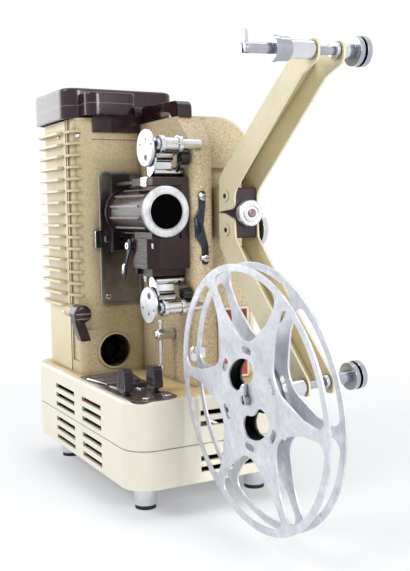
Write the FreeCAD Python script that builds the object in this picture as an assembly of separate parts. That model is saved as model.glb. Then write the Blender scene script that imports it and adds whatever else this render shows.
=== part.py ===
import FreeCAD, Part
import math
import os

# Movie projector for narrow film, in millimetres.
# +X is the operator's side away from the film, -Y is the lens side, +Z is up.
# The sizes below are measured from the middle of the base, on the surface that the pads stand on.
# The finished pieces are moved along Y, so that the origin is the bottom centre of the whole projector.

os.makedirs("parts", exist_ok=True)

# Clearances
running_gap = 0.05
loose_gap = 0.3
slot_gap = 0.5
beyond = 400.0
bore_run = 1.0

# Base
base_width = 145.0
base_depth = 230.0
base_corner = 20.5
base_wall = 2.5
base_bottom = 22.0
base_parting = 52.2
deck_top = 88.8
deck_edge = 3.0
parting_groove = 0.7

# Feet
foot_radius = 9.6
foot_taper = 0.9
foot_side_inset = 23.3
foot_end_inset = 30.5
pad_thickness = 3.2
pad_radius = 8.2
foot_stud_radius = 2.5
foot_boss_radius = 6.5
foot_boss_height = 12.0

# Ventilation slots
slot_height = 3.8
slot_pitch = 8.2
slot_rows = 3
upper_slot_drop = 12.6
lower_slot_drop = 5.8
side_slot_columns = ((7.0, 53.5), (-54.0, -12.0))
front_slot_left = -16.0
front_slot_right = 30.0
front_slot_rows = 2
front_upper_slot_drop = 11.5
front_lower_slot_drop = 10.0

# Transformer
core_height = 19.4
core_lift = 22.3
core_side_gap = 4.0
core_width = 50.0
core_leg = 8.0
core_yoke = 12.0
coil_length = 92.0
coil_wall = 6.5
coil_top_gap = 7.3
coil_floor_gap = 6.5
coil_corner = 5.0
coil_gap = 0.2

# Mains inlet
inlet_side_inset = 36.5
inlet_lift = 16.0
inlet_width = 30.0
inlet_height = 18.0
inlet_depth = 14.0
inlet_flange = 3.0
inlet_flange_thickness = 1.5
inlet_pin_radius = 2.0
inlet_pin_spacing = 19.0
inlet_wall = 2.0

# Control plate
plate_thickness = 1.2
plate_pocket = 1.0
plate_side_inset = 4.5
plate_end_inset = 2.4
plate_nose_width = 38.2
plate_neck_width = 33.0
plate_neck_length = 30.6
plate_house_gap = 2.0
plate_rear_width = 47.0
plate_screw_insets = ((30.2, 9.0), (12.0, 8.0))

# Switch levers
lever_from_front = 31.6
lamp_lever_inset = 5.4
motor_lever_inset = 30.0
lever_thickness = 7.0
lever_width = 17.0
lever_tip_width = 13.0
lever_height = 20.0
lever_pivot_drop = 11.0
lever_root_radius = 12.0
lever_neck_width = 7.0
lever_neck_thickness = 4.0
lever_hub_radius = 4.0
lever_pin_radius = 1.5
lever_grooves = 5
lever_groove_depth = 0.7
lever_swing = 20.0

# Speed dial
dial_inset = 26.5
dial_from_front = 58.6
dial_radius = 9.0
dial_height = 3.2
dial_nut_radius = 2.8
dial_nut_height = 1.6
dial_shaft_radius = 2.0
dial_shaft_length = 12.0

# Lamp house
house_side_inset = 10.0
house_front = 10.8
house_rear = 107.0
house_corner = 17.0
house_wall = 2.0
house_height = 218.2
plinth_height = 38.8
plinth_corner = 6.0
band_drop = 18.2
seam_groove = 0.8
channel_front = 18.5
channel_rear = 33.5
channel_depth = 1.3
channel_lift = 10.5
band_left = -49.0
door_front = 36.0
door_seam = 2.2
door_corner = 12.0
port_radius = 14.2
port_rim = 2.0
port_rim_height = 1.8

# Cooling fins
fin_count = 16
fin_drop = 10.0
fin_pitch = 9.93
fin_thickness = 2.2
fin_depth = 6.0
column_fin_depth = 2.6
column_fin_front = 15.0
column_fin_run = 12.0
door_fin_start = 7.5
door_fin_end = -40.0

# Door hinge
door_rear_edge = -12.2
hinge_x = -11.5
hinge_reach = 2.4
hinge_radius = 2.2
hinge_pin_radius = 1.0
hinge_knuckle = 30.0
hinge_knuckle_rises = (23.2, 169.2)
hinge_lug = 9.0

# Door latch
latch_overhang = 2.4
latch_rise = 14.9
latch_radius = 7.6
latch_front = -1.5
latch_thickness = 14.5
latch_shaft_radius = 3.0
latch_lug_radius = 5.0
latch_tail_length = 22.8
latch_tail_lean = 5.0
latch_tail_width = 8.8
latch_tail_depth = 9.0

# Lamp cap
cap_overhang = 6.0
cap_right = 35.0
cap_front = 20.3
cap_rear_overhang = 3.0
cap_height = 25.7
cap_corner = 14.0
cap_wall = 3.0
cap_edge = 2.5
cap_skirt_drop = 3.1
vent_left = -56.5
vent_right = -12.0
vent_front = -4.0
vent_lift = 1.2
vent_drop = 5.7
vent_corner = 9.0
vent_edge = 1.8
strip_left = -48.0
strip_drop = 12.0
strip_front = 7.6

# Mechanism casting
film_wall = -5.2
casting_wall = 3.5
casting_drop = 4.8
nose_front = -88.0
nose_right = 12.5
nose_corner = 8.5
nose_flare = 2.9
nose_brow = 26.0
recess_front = -70.0
recess_wall = 3.5
casting_right = 56.4
casting_corner = 31.2
seam_y = -60.0
ledge_drop = 41.2
shoulder_front = -82.0
recess_hole_radius = 1.6
recess_hole_x = 20.5
recess_hole_drops = (22.4, -18.1)

# Mechanism cover
cover_right = 65.3
cover_rise = 1.1
cover_corner = 37.3
cover_wall = 2.0

# Red plate
red_left = 24.6
red_width = 29.4
red_lift = 0.8
red_height = 58.8
red_thickness = 1.5
red_frame = 4.0

# Lens strap
strap_low_drop = 41.7
strap_high_rise = 15.6
strap_lug_drop = 11.4
strap_thickness = 1.8
strap_low_x = 4.4
strap_high_x = 2.2
strap_lug_x = -4.0
strap_width = 5.0

# Lens line
lens_x = -26.0
lens_drop = 79.6
ring_radius = 20.0
ring_thickness = 2.3
sleeve_radius = 18.5
sleeve_wall = 2.0
sleeve_front = -80.0
sleeve_rear = -10.0
sleeve_flange_radius = 20.0
sleeve_flange = 3.0
sleeve_ribs = 12
sleeve_rib_width = 1.3
sleeve_rib_depth = 0.7
sleeve_collar = 7.0
sleeve_neck = 6.0
sleeve_neck_depth = 1.2
barrel_rear = -22.0
barrel_bore = 13.2
glass_front = -74.0
glass_thickness = 4.0
rear_glass = -30.0
glass_bulge = 1.2

# Lens holder
holder_left = -38.5
holder_front = -81.0
holder_rear = -45.0
holder_bottom_drop = 44.4
holder_block_drop = 20.9
holder_pillar_left = -12.0
holder_plate_left = -36.0
holder_plate_rise = 20.2
holder_plate_thickness = 6.0
holder_bevel = 7.5
holder_foot = 6.0
carriage_travel = 8.0

# Gate
tray_left = -44.0
tray_right = -6.0
tray_drop = 80.4
tray_height = 115.0
tray_thickness = 1.6
tray_rim = 2.6
tray_rim_height = 3.2
tray_corner = 5.0
tray_screw_drop = 22.7
aperture_width = 8.4
aperture_height = 6.2
land_half_width = 8.0
land_half_height = 34.0
film_gap = 0.3
land_front = 6.3
pressure_thickness = 1.6
pressure_tube_radius = 13.0
pressure_tube_wall = 1.5
guide_rod_radius = 2.0
upper_rod_x = -28.6
upper_rod_rise = 23.2
lower_rod_x = -13.0
lower_rod_drop = 33.4
rod_reach = 14.0

# Claw
claw_stroke = 7.6
claw_drop = 22.4
claw_height = 6.0
claw_front = 13.0
claw_rear = 15.2
claw_tooth_width = 2.0
claw_rod_x = 5.0
claw_rod_radius = 1.5
claw_block = 7.0

# Shutter and drive
shutter_x = 14.0
shutter_radius = 46.5
shutter_y = 16.4
shutter_thickness = 1.2
shutter_blades = 3
shutter_shaft_radius = 2.5
shutter_shaft_front = -64.0
shutter_shaft_rear = 104.0
cross_gear_radius = 4.3
cross_gear_length = 10.0
upright_x = 5.0
upright_y = -55.0
upright_radius = 2.5
upright_low_rise = 25.2
upright_high_drop = 8.2
bearing_height = 6.0
low_bearing_rise = 29.2
high_bearing_drop = 16.2
worm_radius = 4.9
worm_length = 14.0
worm_wheel_radius = 7.8
worm_wheel_left = 1.0
worm_wheel_width = 8.0
worm_wheel_teeth = 12
rear_bearing_y = 60.0

# Motor, fan and belt
motor_x = -32.6
motor_lift = 19.2
motor_radius = 17.0
motor_front = 46.0
motor_rear = 95.0
motor_shaft_radius = 2.5
fan_radius = 15.5
fan_front = 22.0
fan_depth = 16.0
fan_blades = 10
belt_y = 98.0
belt_width = 4.0
belt_thickness = 1.8
motor_pulley_radius = 6.0
shutter_pulley_radius = 12.0
pulley_side = 0.8
belt_slot_low = 45.0
belt_slot_high = 50.0

# Lamp
lamp_y = 62.0
lamp_radius = 13.5
lamp_base_drop = 41.4
lamp_rise = 34.6
lamp_crown = 10.0
socket_radius = 16.0
socket_height = 28.0
socket_depth = 8.0
condenser_y = 23.0
condenser_thickness = 9.0
condenser_radius = 15.0
condenser_ring = 3.0
condenser_bulge = 3.0

# Sprockets and shoes
sprocket_y = -68.0
upper_sprocket_drop = 25.7
lower_sprocket_rise = 65.7
disc_left = -36.5
disc_thickness = 3.0
disc_radius = 14.5
drum_radius = 8.4
drum_right = -15.0
tooth_height = 0.5
tooth_width = 1.1
tooth_count = 12
sprocket_hub_radius = 5.0
sprocket_shaft_radius = 2.5
shoe_pivot_y = -70.0
shoe_pivot_offset = 18.5
shoe_inner = 10.0
shoe_outer = 12.0
shoe_start = 204.0
shoe_end = 272.0
shoe_plate = 1.6
shoe_hub_radius = 3.8
shoe_pin_radius = 2.0
shoe_knob_radius = 5.0
shoe_knob_y = -81.5
shoe_knob_drop = 8.5
shoe_knob_right = -6.0
shoe_knob_left = -12.8
shoe_tab_reach = 15.0

# Guide rollers
roller_y = -84.2
upper_roller_rise = 2.0
lower_roller_drop = 1.0
roller_left = -31.5
roller_right = -13.6
roller_radius = 6.9
roller_waist = 5.4
roller_flange = 3.0
stud_radius = 3.0
stud_base_radius = 4.3
stud_cap = 1.3

# Framing post and rod
post_y = -50.0
post_rise = 39.2
post_radius = 4.6
post_left = -21.0
rod_x = -17.0
framing_rod_radius = 1.5
framing_rod_rise = 9.7
framing_rod_length = 41.5
framing_nut_radius = 3.2
framing_nut_height = 3.0

# Arm block and clamp
block_left = 15.7
block_right = 32.8
block_front = -118.0
block_below = 18.7
block_above = 19.3
block_edge = 1.2
upper_pivot_y = -106.8
upper_pivot_rise = 13.2
lower_pivot_y = -107.7
lower_pivot_drop = 12.6
pivot_radius = 3.0
pivot_head_radius = 4.2
pivot_cap_radius = 13.5
pivot_cap_thickness = 4.5
clamp_drop = 2.1
clamp_knob_radius = 10.0
clamp_knob_front = -126.0
clamp_knob_thickness = 6.5
clamp_screw_radius = 3.0
clamp_screw_depth = 30.0
clamp_t_height = 7.0

# Reel arms
arm_left = 13.4
arm_right = 35.1
arm_sheet = 1.6
arm_end_radius = 7.0
upper_arm_root = ((11.2, -12.0, 1.0), (10.5, 12.5, 4.0), (4.0, 19.8, 4.0))
upper_arm_neck = ((24.7, -1.7, 6.0), (16.4, 5.6, 8.0))
upper_arm_throat = (13.2, -14.4, 6.0)
upper_arm_heel = ((-15.2, 5.6, 5.0), (-12.1, 0.5, 5.0), (-11.8, -9.7, 5.5))
upper_web_root = ((13.5, 11.5), (4.0, 22.0))
upper_web_end = ((24.7, 2.0), (24.7, -4.3))
upper_web_heel = ((3.0, 17.8), (8.9, 11.5))
lower_arm_root = ((12.1, 12.8, 1.0), (3.7, 12.8, 2.0), (-10.8, 8.2, 3.0))
lower_arm_brow = ((-11.9, -5.9, 5.0), (-27.5, -23.2, 8.0))
lower_arm_neck = ((-6.0, 4.1, 6.0), (-7.0, 1.0, 5.0), (-7.0, -7.0, 7.0), (8.0, -7.0, 6.0), (17.2, -4.3, 6.0))
lower_arm_heel = ((-2.3, -27.5, 6.0), (12.1, -12.7, 6.0))
lower_web_root = ((12.0, -14.0), (8.0, -22.0), (-2.0, -30.0))
lower_web_end = ((17.2, -7.5), (15.7, -2.5))
lower_web_heel = ((-3.6, -25.8), (9.8, -12.8))

# Spindles
upper_arm_reach = 112.6
upper_arm_rise = 90.9
upper_dip = 2.4
lower_arm_reach = 99.5
lower_arm_drop = 103.2
lower_dip = 4.6
rod_tip = -62.3
lower_rod_tip = -58.0
seat_left = -42.3
seat_disc = 4.0
seat_radius = 8.2
seat_body_radius = 7.6
seat_right = -30.3
spindle_rod_radius = 3.4
spindle_shaft_radius = 2.8
bush_radius = 6.0
bush_spigot_radius = 4.5
bush_left = -30.0
right_bush_end = 17.0
upper_pulley_start = 17.3
upper_pulley_length = 13.0
lower_pulley_start = 17.3
lower_pulley_length = 19.0
pulley_radius = 10.0
pulley_disc = 3.6
pulley_groove_radius = 6.2
pulley_hub_radius = 4.2
latch_slot_width = 2.4
latch_slot_depth = 4.0
latch_blade = 2.0
latch_blade_height = 11.0
latch_pin_radius = 0.7

# Reel
reel_radius = 89.0
reel_sheet = 1.4
reel_width = 12.6
reel_left = -55.2
reel_dish = 1.0
reel_rim = 6.5
dish_inner = 36.2
dish_outer = 39.2
core_radius = 30.0
hub_bore = 3.5
hub_radius = 8.0
window_count = 6
window_apex = 28.4
window_spread = 37.5
window_inner_corner = 18.0
window_corner = 8.0
tab_slot_inner = 30.6
tab_slot_outer = 35.4
tab_slot_half_angle = 9.5
tab_slot_corner = 2.2
kidney_inner = 11.0
kidney_outer = 27.0
kidney_half_angle = 52.0
kidney_corner = 7.0
kidney_turn = 115.0
reel_turn = 85.0
core_wall = 1.5

# Carrying handle
handle_left = -3.6
handle_right = 8.0
handle_rear = 9.0
handle_front = -62.0
handle_rise = 15.8
handle_bar = 8.0
handle_leg = 12.0
handle_corner = 12.0
handle_inner_corner = 5.0
handle_arch = 6.0
handle_crown = 33.0
handle_shoulder = 8.0
handle_fall = 2.0
handle_edge = 4.0

# Screws
screw_head_radius = 2.8
screw_head_height = 1.6
screw_shank_radius = 1.4
screw_length = 6.0
screw_slot_width = 0.7
screw_slot_depth = 0.7

# Values worked out from the sizes above
half_width = base_width / 2
half_depth = base_depth / 2
deck_under = deck_top - base_wall
film_wall_inner = film_wall + casting_wall
recess_back = recess_front + recess_wall
disc_right = disc_left + disc_thickness
foot_x = half_width - foot_side_inset
foot_y = half_depth - foot_end_inset
upper_slot_top = deck_top - upper_slot_drop
lower_slot_top = base_parting - lower_slot_drop
front_upper_slot_top = deck_top - front_upper_slot_drop
front_lower_slot_top = base_parting - front_lower_slot_drop
core_left = -half_width + base_wall + core_side_gap
core_right = core_left + core_width
core_bottom = base_bottom + core_lift
coil_top = deck_under - coil_top_gap
coil_bottom = base_bottom + base_wall + coil_floor_gap
inlet_x = half_width - inlet_side_inset
inlet_z = base_bottom + inlet_lift
plate_left = -half_width + plate_side_inset
plate_front = -half_depth + plate_end_inset
plate_nose_right = plate_left + plate_nose_width
plate_neck = (plate_left + plate_neck_width, plate_front + plate_neck_length)
plate_rear = house_front - plate_house_gap
plate_rear_right = plate_left + plate_rear_width
lever_y = plate_front + lever_from_front
lamp_lever_x = plate_left + lamp_lever_inset
motor_lever_x = plate_left + motor_lever_inset
dial_x = plate_left + dial_inset
dial_y = plate_front + dial_from_front
far_inner_face = reel_left + reel_width - reel_sheet - reel_dish
house_left = -half_width + house_side_inset
house_top = deck_top + house_height
plinth_top = deck_top + plinth_height
band_seam = house_top - band_drop
fin_top = house_top - fin_drop
hinge_y = house_rear + hinge_reach
hinge_knuckle_bottoms = [deck_top + rise for rise in hinge_knuckle_rises]
latch_x = house_left - latch_overhang
latch_z = plinth_top + latch_rise
cap_left = house_left - cap_overhang
cap_rear = house_rear + cap_rear_overhang
cap_top = house_top + cap_height
vent_bottom = house_top + vent_lift
vent_top = cap_top - vent_drop
strip_bottom = house_top - strip_drop
casting_rear = house_rear
casting_top = house_top - casting_drop
cover_top = casting_top + cover_rise
shoulder_ledge = casting_top - ledge_drop
handle_top = casting_top + handle_rise
red_right = red_left + red_width
red_bottom = deck_top + red_lift
red_top = red_bottom + red_height
lens_z = house_top - lens_drop
strap_low = lens_z - strap_low_drop
strap_high = lens_z + strap_high_rise
strap_lug_z = lens_z - strap_lug_drop
holder_bottom = lens_z - holder_bottom_drop
holder_block_top = lens_z - holder_block_drop
holder_plate_bottom = lens_z + holder_plate_rise
holder_plate_top = holder_plate_bottom + holder_plate_thickness
tray_bottom = lens_z - tray_drop
tray_top = tray_bottom + tray_height
tray_screw_high = lens_z - tray_screw_drop
upper_rod_z = lens_z + upper_rod_rise
lower_rod_z = lens_z - lower_rod_drop
claw_z = lens_z - claw_drop
lamp_bottom = lens_z - lamp_base_drop
lamp_top = lens_z + lamp_rise
socket_bottom = lamp_bottom - socket_height
motor_z = deck_top + motor_lift
port_x = motor_x
port_z = motor_z
upright_low = deck_top + upright_low_rise
upright_high = casting_top - upright_high_drop
low_bearing = deck_top + low_bearing_rise
high_bearing = casting_top - high_bearing_drop
upper_sprocket_z = casting_top - upper_sprocket_drop
lower_sprocket_z = deck_top + lower_sprocket_rise
upper_roller_z = upper_sprocket_z + upper_roller_rise
lower_roller_z = lower_sprocket_z - lower_roller_drop
post_z = deck_top + post_rise
framing_rod_low = deck_top + framing_rod_rise
framing_rod_high = framing_rod_low + framing_rod_length
clamp_z = lens_z - clamp_drop
block_bottom = clamp_z - block_below
block_top = clamp_z + block_above
upper_pivot_z = clamp_z + upper_pivot_rise
lower_pivot_z = clamp_z - lower_pivot_drop
upper_spindle_y = upper_pivot_y - upper_arm_reach
upper_spindle_z = upper_pivot_z + upper_arm_rise
lower_spindle_y = lower_pivot_y - lower_arm_reach
lower_spindle_z = lower_pivot_z - lower_arm_drop
lens_axis = (lens_x, lens_z)
ring_back = holder_front - loose_gap
ring_front = ring_back - ring_thickness
arm_middle = (arm_left + arm_right) / 2
plate_top = deck_top - plate_pocket + plate_thickness
lever_pivot_z = plate_top - lever_pivot_drop
front_reach = lower_spindle_y - reel_radius
rear_reach = half_depth + inlet_flange_thickness
origin_y = (front_reach + rear_reach) / 2


def point(plane, u, v, w):
    """A point whose flat coordinates lie in the plane and whose height is w."""
    places = {"XY": (u, v, w), "XZ": (u, w, v), "YZ": (w, u, v)}
    return FreeCAD.Vector(*places[plane])


def corner_points(before, corner, after, radius):
    """Start, middle and end of the arc that rounds a corner."""
    into = FreeCAD.Vector(before[0] - corner[0], before[1] - corner[1], 0)
    out = FreeCAD.Vector(after[0] - corner[0], after[1] - corner[1], 0)
    half_angle = into.getAngle(out) / 2
    room = 0.49 * min(into.Length, out.Length)
    reach = min(radius / math.tan(half_angle), room)
    used_radius = reach * math.tan(half_angle)
    into.normalize()
    out.normalize()
    tip = FreeCAD.Vector(corner[0], corner[1], 0)
    bisector = into + out
    bisector.normalize()
    middle = tip + bisector * (used_radius / math.sin(half_angle) - used_radius)
    return tip + into * reach, middle, tip + out * reach


def outline(plane, corners, w):
    """A closed wire through corners given as (u, v) or (u, v, radius)."""
    stops = []
    count = len(corners)
    for index, corner in enumerate(corners):
        before = corners[index - 1]
        after = corners[(index + 1) % count]
        if len(corner) == 3 and corner[2] > 0:
            stops.append(corner_points(before, corner, after, corner[2]))
        else:
            tip = FreeCAD.Vector(corner[0], corner[1], 0)
            stops.append((tip, None, tip))
    edges = []
    for index, stop in enumerate(stops):
        start, middle, end = stop
        following = stops[(index + 1) % count][0]
        if middle is not None:
            arc = [point(plane, spot.x, spot.y, w) for spot in (start, middle, end)]
            edges.append(Part.Arc(*arc).toShape())
        if (following - end).Length > 1e-6:
            edges.append(
                Part.makeLine(point(plane, end.x, end.y, w), point(plane, following.x, following.y, w)))
    return Part.Wire(edges)


def prism(plane, corners, low, high):
    """A prism on the outline, from height low to height high."""
    face = Part.Face(outline(plane, corners, low))
    return face.extrude(point(plane, 0, 0, high - low))


def box(x, y, z):
    """A box from its three (low, high) pairs."""
    return Part.makeBox(x[1] - x[0], y[1] - y[0], z[1] - z[0], FreeCAD.Vector(x[0], y[0], z[0]))


def rod(plane, centre, radius, low, high):
    """A cylinder square to the plane."""
    return Part.makeCylinder(
        radius, high - low, point(plane, centre[0], centre[1], low), point(plane, 0, 0, 1))


def ring(plane, centre, outer, inner, low, high):
    """A tube square to the plane."""
    return rod(plane, centre, outer, low, high).cut(rod(plane, centre, inner, low - 1, high + 1))


def rectangle(left, right, bottom, top, radius=0.0):
    """Corners of a rectangle with one corner radius."""
    return [(left, bottom, radius), (right, bottom, radius), (right, top, radius), (left, top, radius)]


def join(shapes):
    """One solid from touching shapes."""
    solid = shapes[0]
    for shape in shapes[1:]:
        solid = solid.fuse(shape)
    return solid.removeSplitter()


def remove(shape, cutters):
    """The shape without the cutters."""
    return shape.cut(Part.makeCompound(cutters)) if cutters else shape


def turned(plane, centre, steps):
    """A stepped turning: steps are (low, high, radius) along the axis."""
    return join([rod(plane, centre, radius, low, high) for low, high, radius in steps])


def base_outline(inset=0.0):
    """Plan of the base, drawn in by the inset."""
    side = half_width - inset
    end = half_depth - inset
    return rectangle(-side, side, -end, end, base_corner - inset)


def slot_tops(first, rows):
    """Upper edges of a column of slots."""
    return [first - row * slot_pitch for row in range(rows)]


def side_slots(first_top):
    """Cutters of the ventilation slots in both long sides."""
    cutters = []
    for low, high in side_slot_columns:
        for top in slot_tops(first_top, slot_rows):
            cutters.append(box((-half_width - 1, half_width + 1), (low, high), (top - slot_height, top)))
    return cutters


def front_slots(first_top):
    """Cutters of the ventilation slots in the front."""
    span = (-half_depth - 1, -half_depth + base_corner)
    cutters = []
    for top in slot_tops(first_top, front_slot_rows):
        cutters.append(box((front_slot_left, front_slot_right), span, (top - slot_height, top)))
    return cutters


def foot_centres():
    """Plan positions of the four feet."""
    return [(x, y) for x in (-foot_x, foot_x) for y in (-foot_y, foot_y)]


def base_lower_shell():
    outer = prism("XY", base_outline(), base_bottom, base_parting)
    inner = prism("XY", base_outline(base_wall), base_bottom + base_wall, base_parting + 1)
    shell = outer.cut(inner)
    bosses = []
    holes = []
    for centre in foot_centres():
        bosses.append(rod("XY", centre, foot_boss_radius, base_bottom, base_bottom + foot_boss_height))
        holes.append(rod("XY", centre, foot_stud_radius, base_bottom - 1, base_bottom + foot_boss_height + 1))
    shell = join([shell] + bosses)
    groove = prism("XY", base_outline(-1.0), base_parting - parting_groove, base_parting + 1)
    groove = groove.cut(prism("XY", base_outline(parting_groove), base_parting - 2, base_parting + 2))
    inlet = rectangle(
        inlet_x - inlet_width / 2, inlet_x + inlet_width / 2,
        inlet_z - inlet_height / 2, inlet_z + inlet_height / 2, 2.0)
    inlet_hole = prism("XZ", inlet, half_depth - 2 * base_wall, half_depth + 1)
    return remove(
        shell,
        side_slots(lower_slot_top) + front_slots(front_lower_slot_top) + holes + [groove, inlet_hole])


def plate_outline(inset=0.0):
    """Plan of the control plate, grown or drawn in by the inset."""
    return [
        (plate_left + inset, plate_rear - inset, 8.0),
        (plate_rear_right - inset, plate_rear - inset, 2.0),
        (plate_neck[0] - inset, plate_neck[1], 6.0),
        (plate_nose_right - inset, plate_neck[1] - 6.0, 6.0),
        (plate_nose_right - inset, plate_front + inset, 14.0),
        (plate_left + inset, plate_front + inset, 9.0),
    ]


def lever_slot(lever_x, low, high):
    """Cutter of the slot that a lever's neck swings in."""
    swing = lever_pivot_drop * math.tan(math.radians(lever_swing))
    reach = lever_neck_width / 2 / math.cos(math.radians(lever_swing)) + swing + slot_gap
    side = lever_neck_thickness / 2 + slot_gap
    return box((lever_x - side, lever_x + side), (lever_y - reach, lever_y + reach), (low, high))


def base_upper_shell():
    outer = prism("XY", base_outline(), base_parting, deck_top)
    rims = [edge for edge in outer.Edges if edge.BoundBox.ZMin > deck_top - 0.01]
    outer = outer.makeFillet(deck_edge, rims)
    shell = outer.cut(prism("XY", base_outline(base_wall), base_parting - 1, deck_under))
    pocket = prism("XY", plate_outline(-0.2), deck_top - plate_pocket, deck_top + 1)
    dial_hole = rod("XY", (dial_x, dial_y), dial_shaft_radius + running_gap, deck_under - 1, deck_top + 1)
    slots = [lever_slot(x, deck_under - 1, deck_top + 1) for x in (lamp_lever_x, motor_lever_x)]
    slots += [
        rod("XY", spot, screw_shank_radius, deck_under - 1, deck_top + 1) for spot in plate_screw_spots()]
    shell = remove(
        shell,
        side_slots(upper_slot_top) + front_slots(front_upper_slot_top) + [pocket, dial_hole] + slots)
    lugs = [lever_lug(lever_x) for lever_x in (lamp_lever_x, motor_lever_x)]
    return join([shell] + lugs)


def lever_lug(lever_x):
    """Ear under the deck with the pin that a switch lever turns on."""
    left = lever_x + lever_neck_thickness / 2 + slot_gap
    right = left + 2.5
    ear = box((left, right), (lever_y - 4, lever_y + 4), (lever_pivot_z - 4, deck_under + 0.5))
    pin = rod("YZ", (lever_y, lever_pivot_z), lever_pin_radius, lever_x - lever_neck_thickness / 2, right)
    return join([ear, pin])


def feet():
    shapes = []
    for x, y in foot_centres():
        bottom = FreeCAD.Vector(x, y, pad_thickness)
        body = Part.makeCone(foot_radius - foot_taper, foot_radius, base_bottom - pad_thickness, bottom)
        stud = rod("XY", (x, y), foot_stud_radius, base_bottom - 1, base_bottom + foot_boss_height)
        shapes.append(join([body, stud]))
    return Part.makeCompound(shapes)


def foot_pads():
    return Part.makeCompound([rod("XY", centre, pad_radius, 0, pad_thickness) for centre in foot_centres()])


def transformer_span():
    """Inner windows of the core, left and right, across X."""
    middle = (core_left + core_right) / 2
    return middle - core_leg, middle + core_leg


def transformer_core():
    half = coil_length / 2 + slot_gap
    top = core_bottom + core_height
    leg_left, leg_right = transformer_span()
    yokes = [box((core_left, core_right), (-half - core_yoke, -half), (base_bottom + base_wall, top)),
             box((core_left, core_right), (half, half + core_yoke), (base_bottom + base_wall, top))]
    legs = [box((core_left, core_left + core_leg / 2), (-half - 1, half + 1), (core_bottom, top)),
            box((leg_left, leg_right), (-half - 1, half + 1), (core_bottom, top)),
            box((core_right - core_leg / 2, core_right), (-half - 1, half + 1), (core_bottom, top))]
    return join(yokes + legs)


def transformer_coil():
    leg_left, leg_right = transformer_span()
    top = core_bottom + core_height
    outside = rectangle(leg_left - coil_wall, leg_right + coil_wall, coil_bottom, coil_top, coil_corner)
    hole = rectangle(leg_left - coil_gap, leg_right + coil_gap, core_bottom - coil_gap, top + coil_gap)
    half = coil_length / 2
    return prism("XZ", outside, -half, half).cut(prism("XZ", hole, -half - 1, half + 1))


def mains_inlet():
    left = inlet_x - inlet_width / 2
    right = inlet_x + inlet_width / 2
    low = inlet_z - inlet_height / 2
    high = inlet_z + inlet_height / 2
    flange = rectangle(
        left - inlet_flange, right + inlet_flange, low - inlet_flange, high + inlet_flange,
        3.0)
    body = prism(
        "XZ", rectangle(left, right, low, high, 2.0), half_depth - inlet_depth - inlet_wall,
        half_depth + 1)
    plate = prism("XZ", flange, half_depth, half_depth + inlet_flange_thickness)
    recess = rectangle(left + inlet_wall, right - inlet_wall, low + inlet_wall, high - inlet_wall, 1.5)
    hollow = prism("XZ", recess, half_depth - inlet_depth, half_depth + inlet_flange_thickness + 1)
    pins = []
    for side in (-1, 1):
        centre = (inlet_x + side * inlet_pin_spacing / 2, inlet_z)
        pins.append(rod("XZ", centre, inlet_pin_radius, half_depth - inlet_depth - 1, half_depth - 2))
    return join([join([body, plate]).cut(hollow)] + pins)


def control_plate():
    plate = prism("XY", plate_outline(), deck_top - plate_pocket, plate_top)
    dial_hole = rod("XY", (dial_x, dial_y), dial_shaft_radius + running_gap, deck_top - 2, plate_top + 1)
    slots = [lever_slot(x, deck_top - 2, plate_top + 1) for x in (lamp_lever_x, motor_lever_x)]
    screws = [
        rod("XY", spot, screw_shank_radius, deck_top - 2, plate_top + 1) for spot in plate_screw_spots()]
    return remove(plate, [dial_hole] + slots + screws)


def plate_screw_spots():
    """Plan positions of the screws that hold the control plate."""
    return [(plate_left + side, plate_front + end) for side, end in plate_screw_insets]


def switch_lever(lever_x):
    """A grooved paddle on a neck that turns on its pin under the deck."""
    foot = lever_pivot_z + lever_root_radius
    top = plate_top + lever_height
    half = lever_width / 2
    tip = lever_tip_width / 2
    side = lever_thickness / 2
    shoulder = foot + half * math.tan(math.radians(lever_swing))
    profile = [
        (lever_y - half, shoulder),
        (lever_y, foot),
        (lever_y + half, shoulder),
        (lever_y + tip, top, 3.0),
        (lever_y - tip, top, 3.0),
    ]
    paddle = prism("YZ", profile, lever_x - side, lever_x + side)
    cutters = []
    for index in range(lever_grooves):
        middle = lever_y + (index - (lever_grooves - 1) / 2) * tip * 2 / lever_grooves
        for face in (lever_x - side, lever_x + side):
            span = (face - lever_groove_depth, face + lever_groove_depth)
            cutters.append(box(span, (middle - 0.6, middle + 0.6), (shoulder + 0.5, top + 1)))
    paddle = remove(paddle, cutters)
    neck_side = lever_neck_thickness / 2
    neck_half = lever_neck_width / 2
    neck = box(
        (lever_x - neck_side, lever_x + neck_side),
        (lever_y - neck_half, lever_y + neck_half), (lever_pivot_z, foot + 2))
    hub = rod("YZ", (lever_y, lever_pivot_z), lever_hub_radius, lever_x - neck_side, lever_x + neck_side)
    bore = rod("YZ", (lever_y, lever_pivot_z), lever_pin_radius + running_gap, lever_x - 9, lever_x + 9)
    return join([paddle, neck, hub]).cut(bore)


def lamp_switch_lever():
    return switch_lever(lamp_lever_x)


def motor_switch_lever():
    return switch_lever(motor_lever_x)


def speed_dial():
    centre = (dial_x, dial_y)
    bottom = plate_top + loose_gap
    disc = rod("XY", centre, dial_radius, bottom, bottom + dial_height)
    rim = [edge for edge in disc.Edges if edge.BoundBox.ZMin > bottom + dial_height - 0.01]
    disc = disc.makeFillet(1.0, rim)
    nut_top = bottom + dial_height + dial_nut_height
    nut = rod("XY", centre, dial_nut_radius, bottom + dial_height - 0.5, nut_top)
    slot = box((dial_x - 4, dial_x + 4), (dial_y - 0.4, dial_y + 0.4), (nut_top - 0.8, nut_top + 1))
    shaft = rod("XY", centre, dial_shaft_radius, deck_top - dial_shaft_length, bottom + 1)
    collar = rod("XY", centre, dial_shaft_radius + 2, deck_top - dial_shaft_length, deck_under - loose_gap)
    return join([disc, nut, shaft, collar]).cut(slot)


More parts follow.
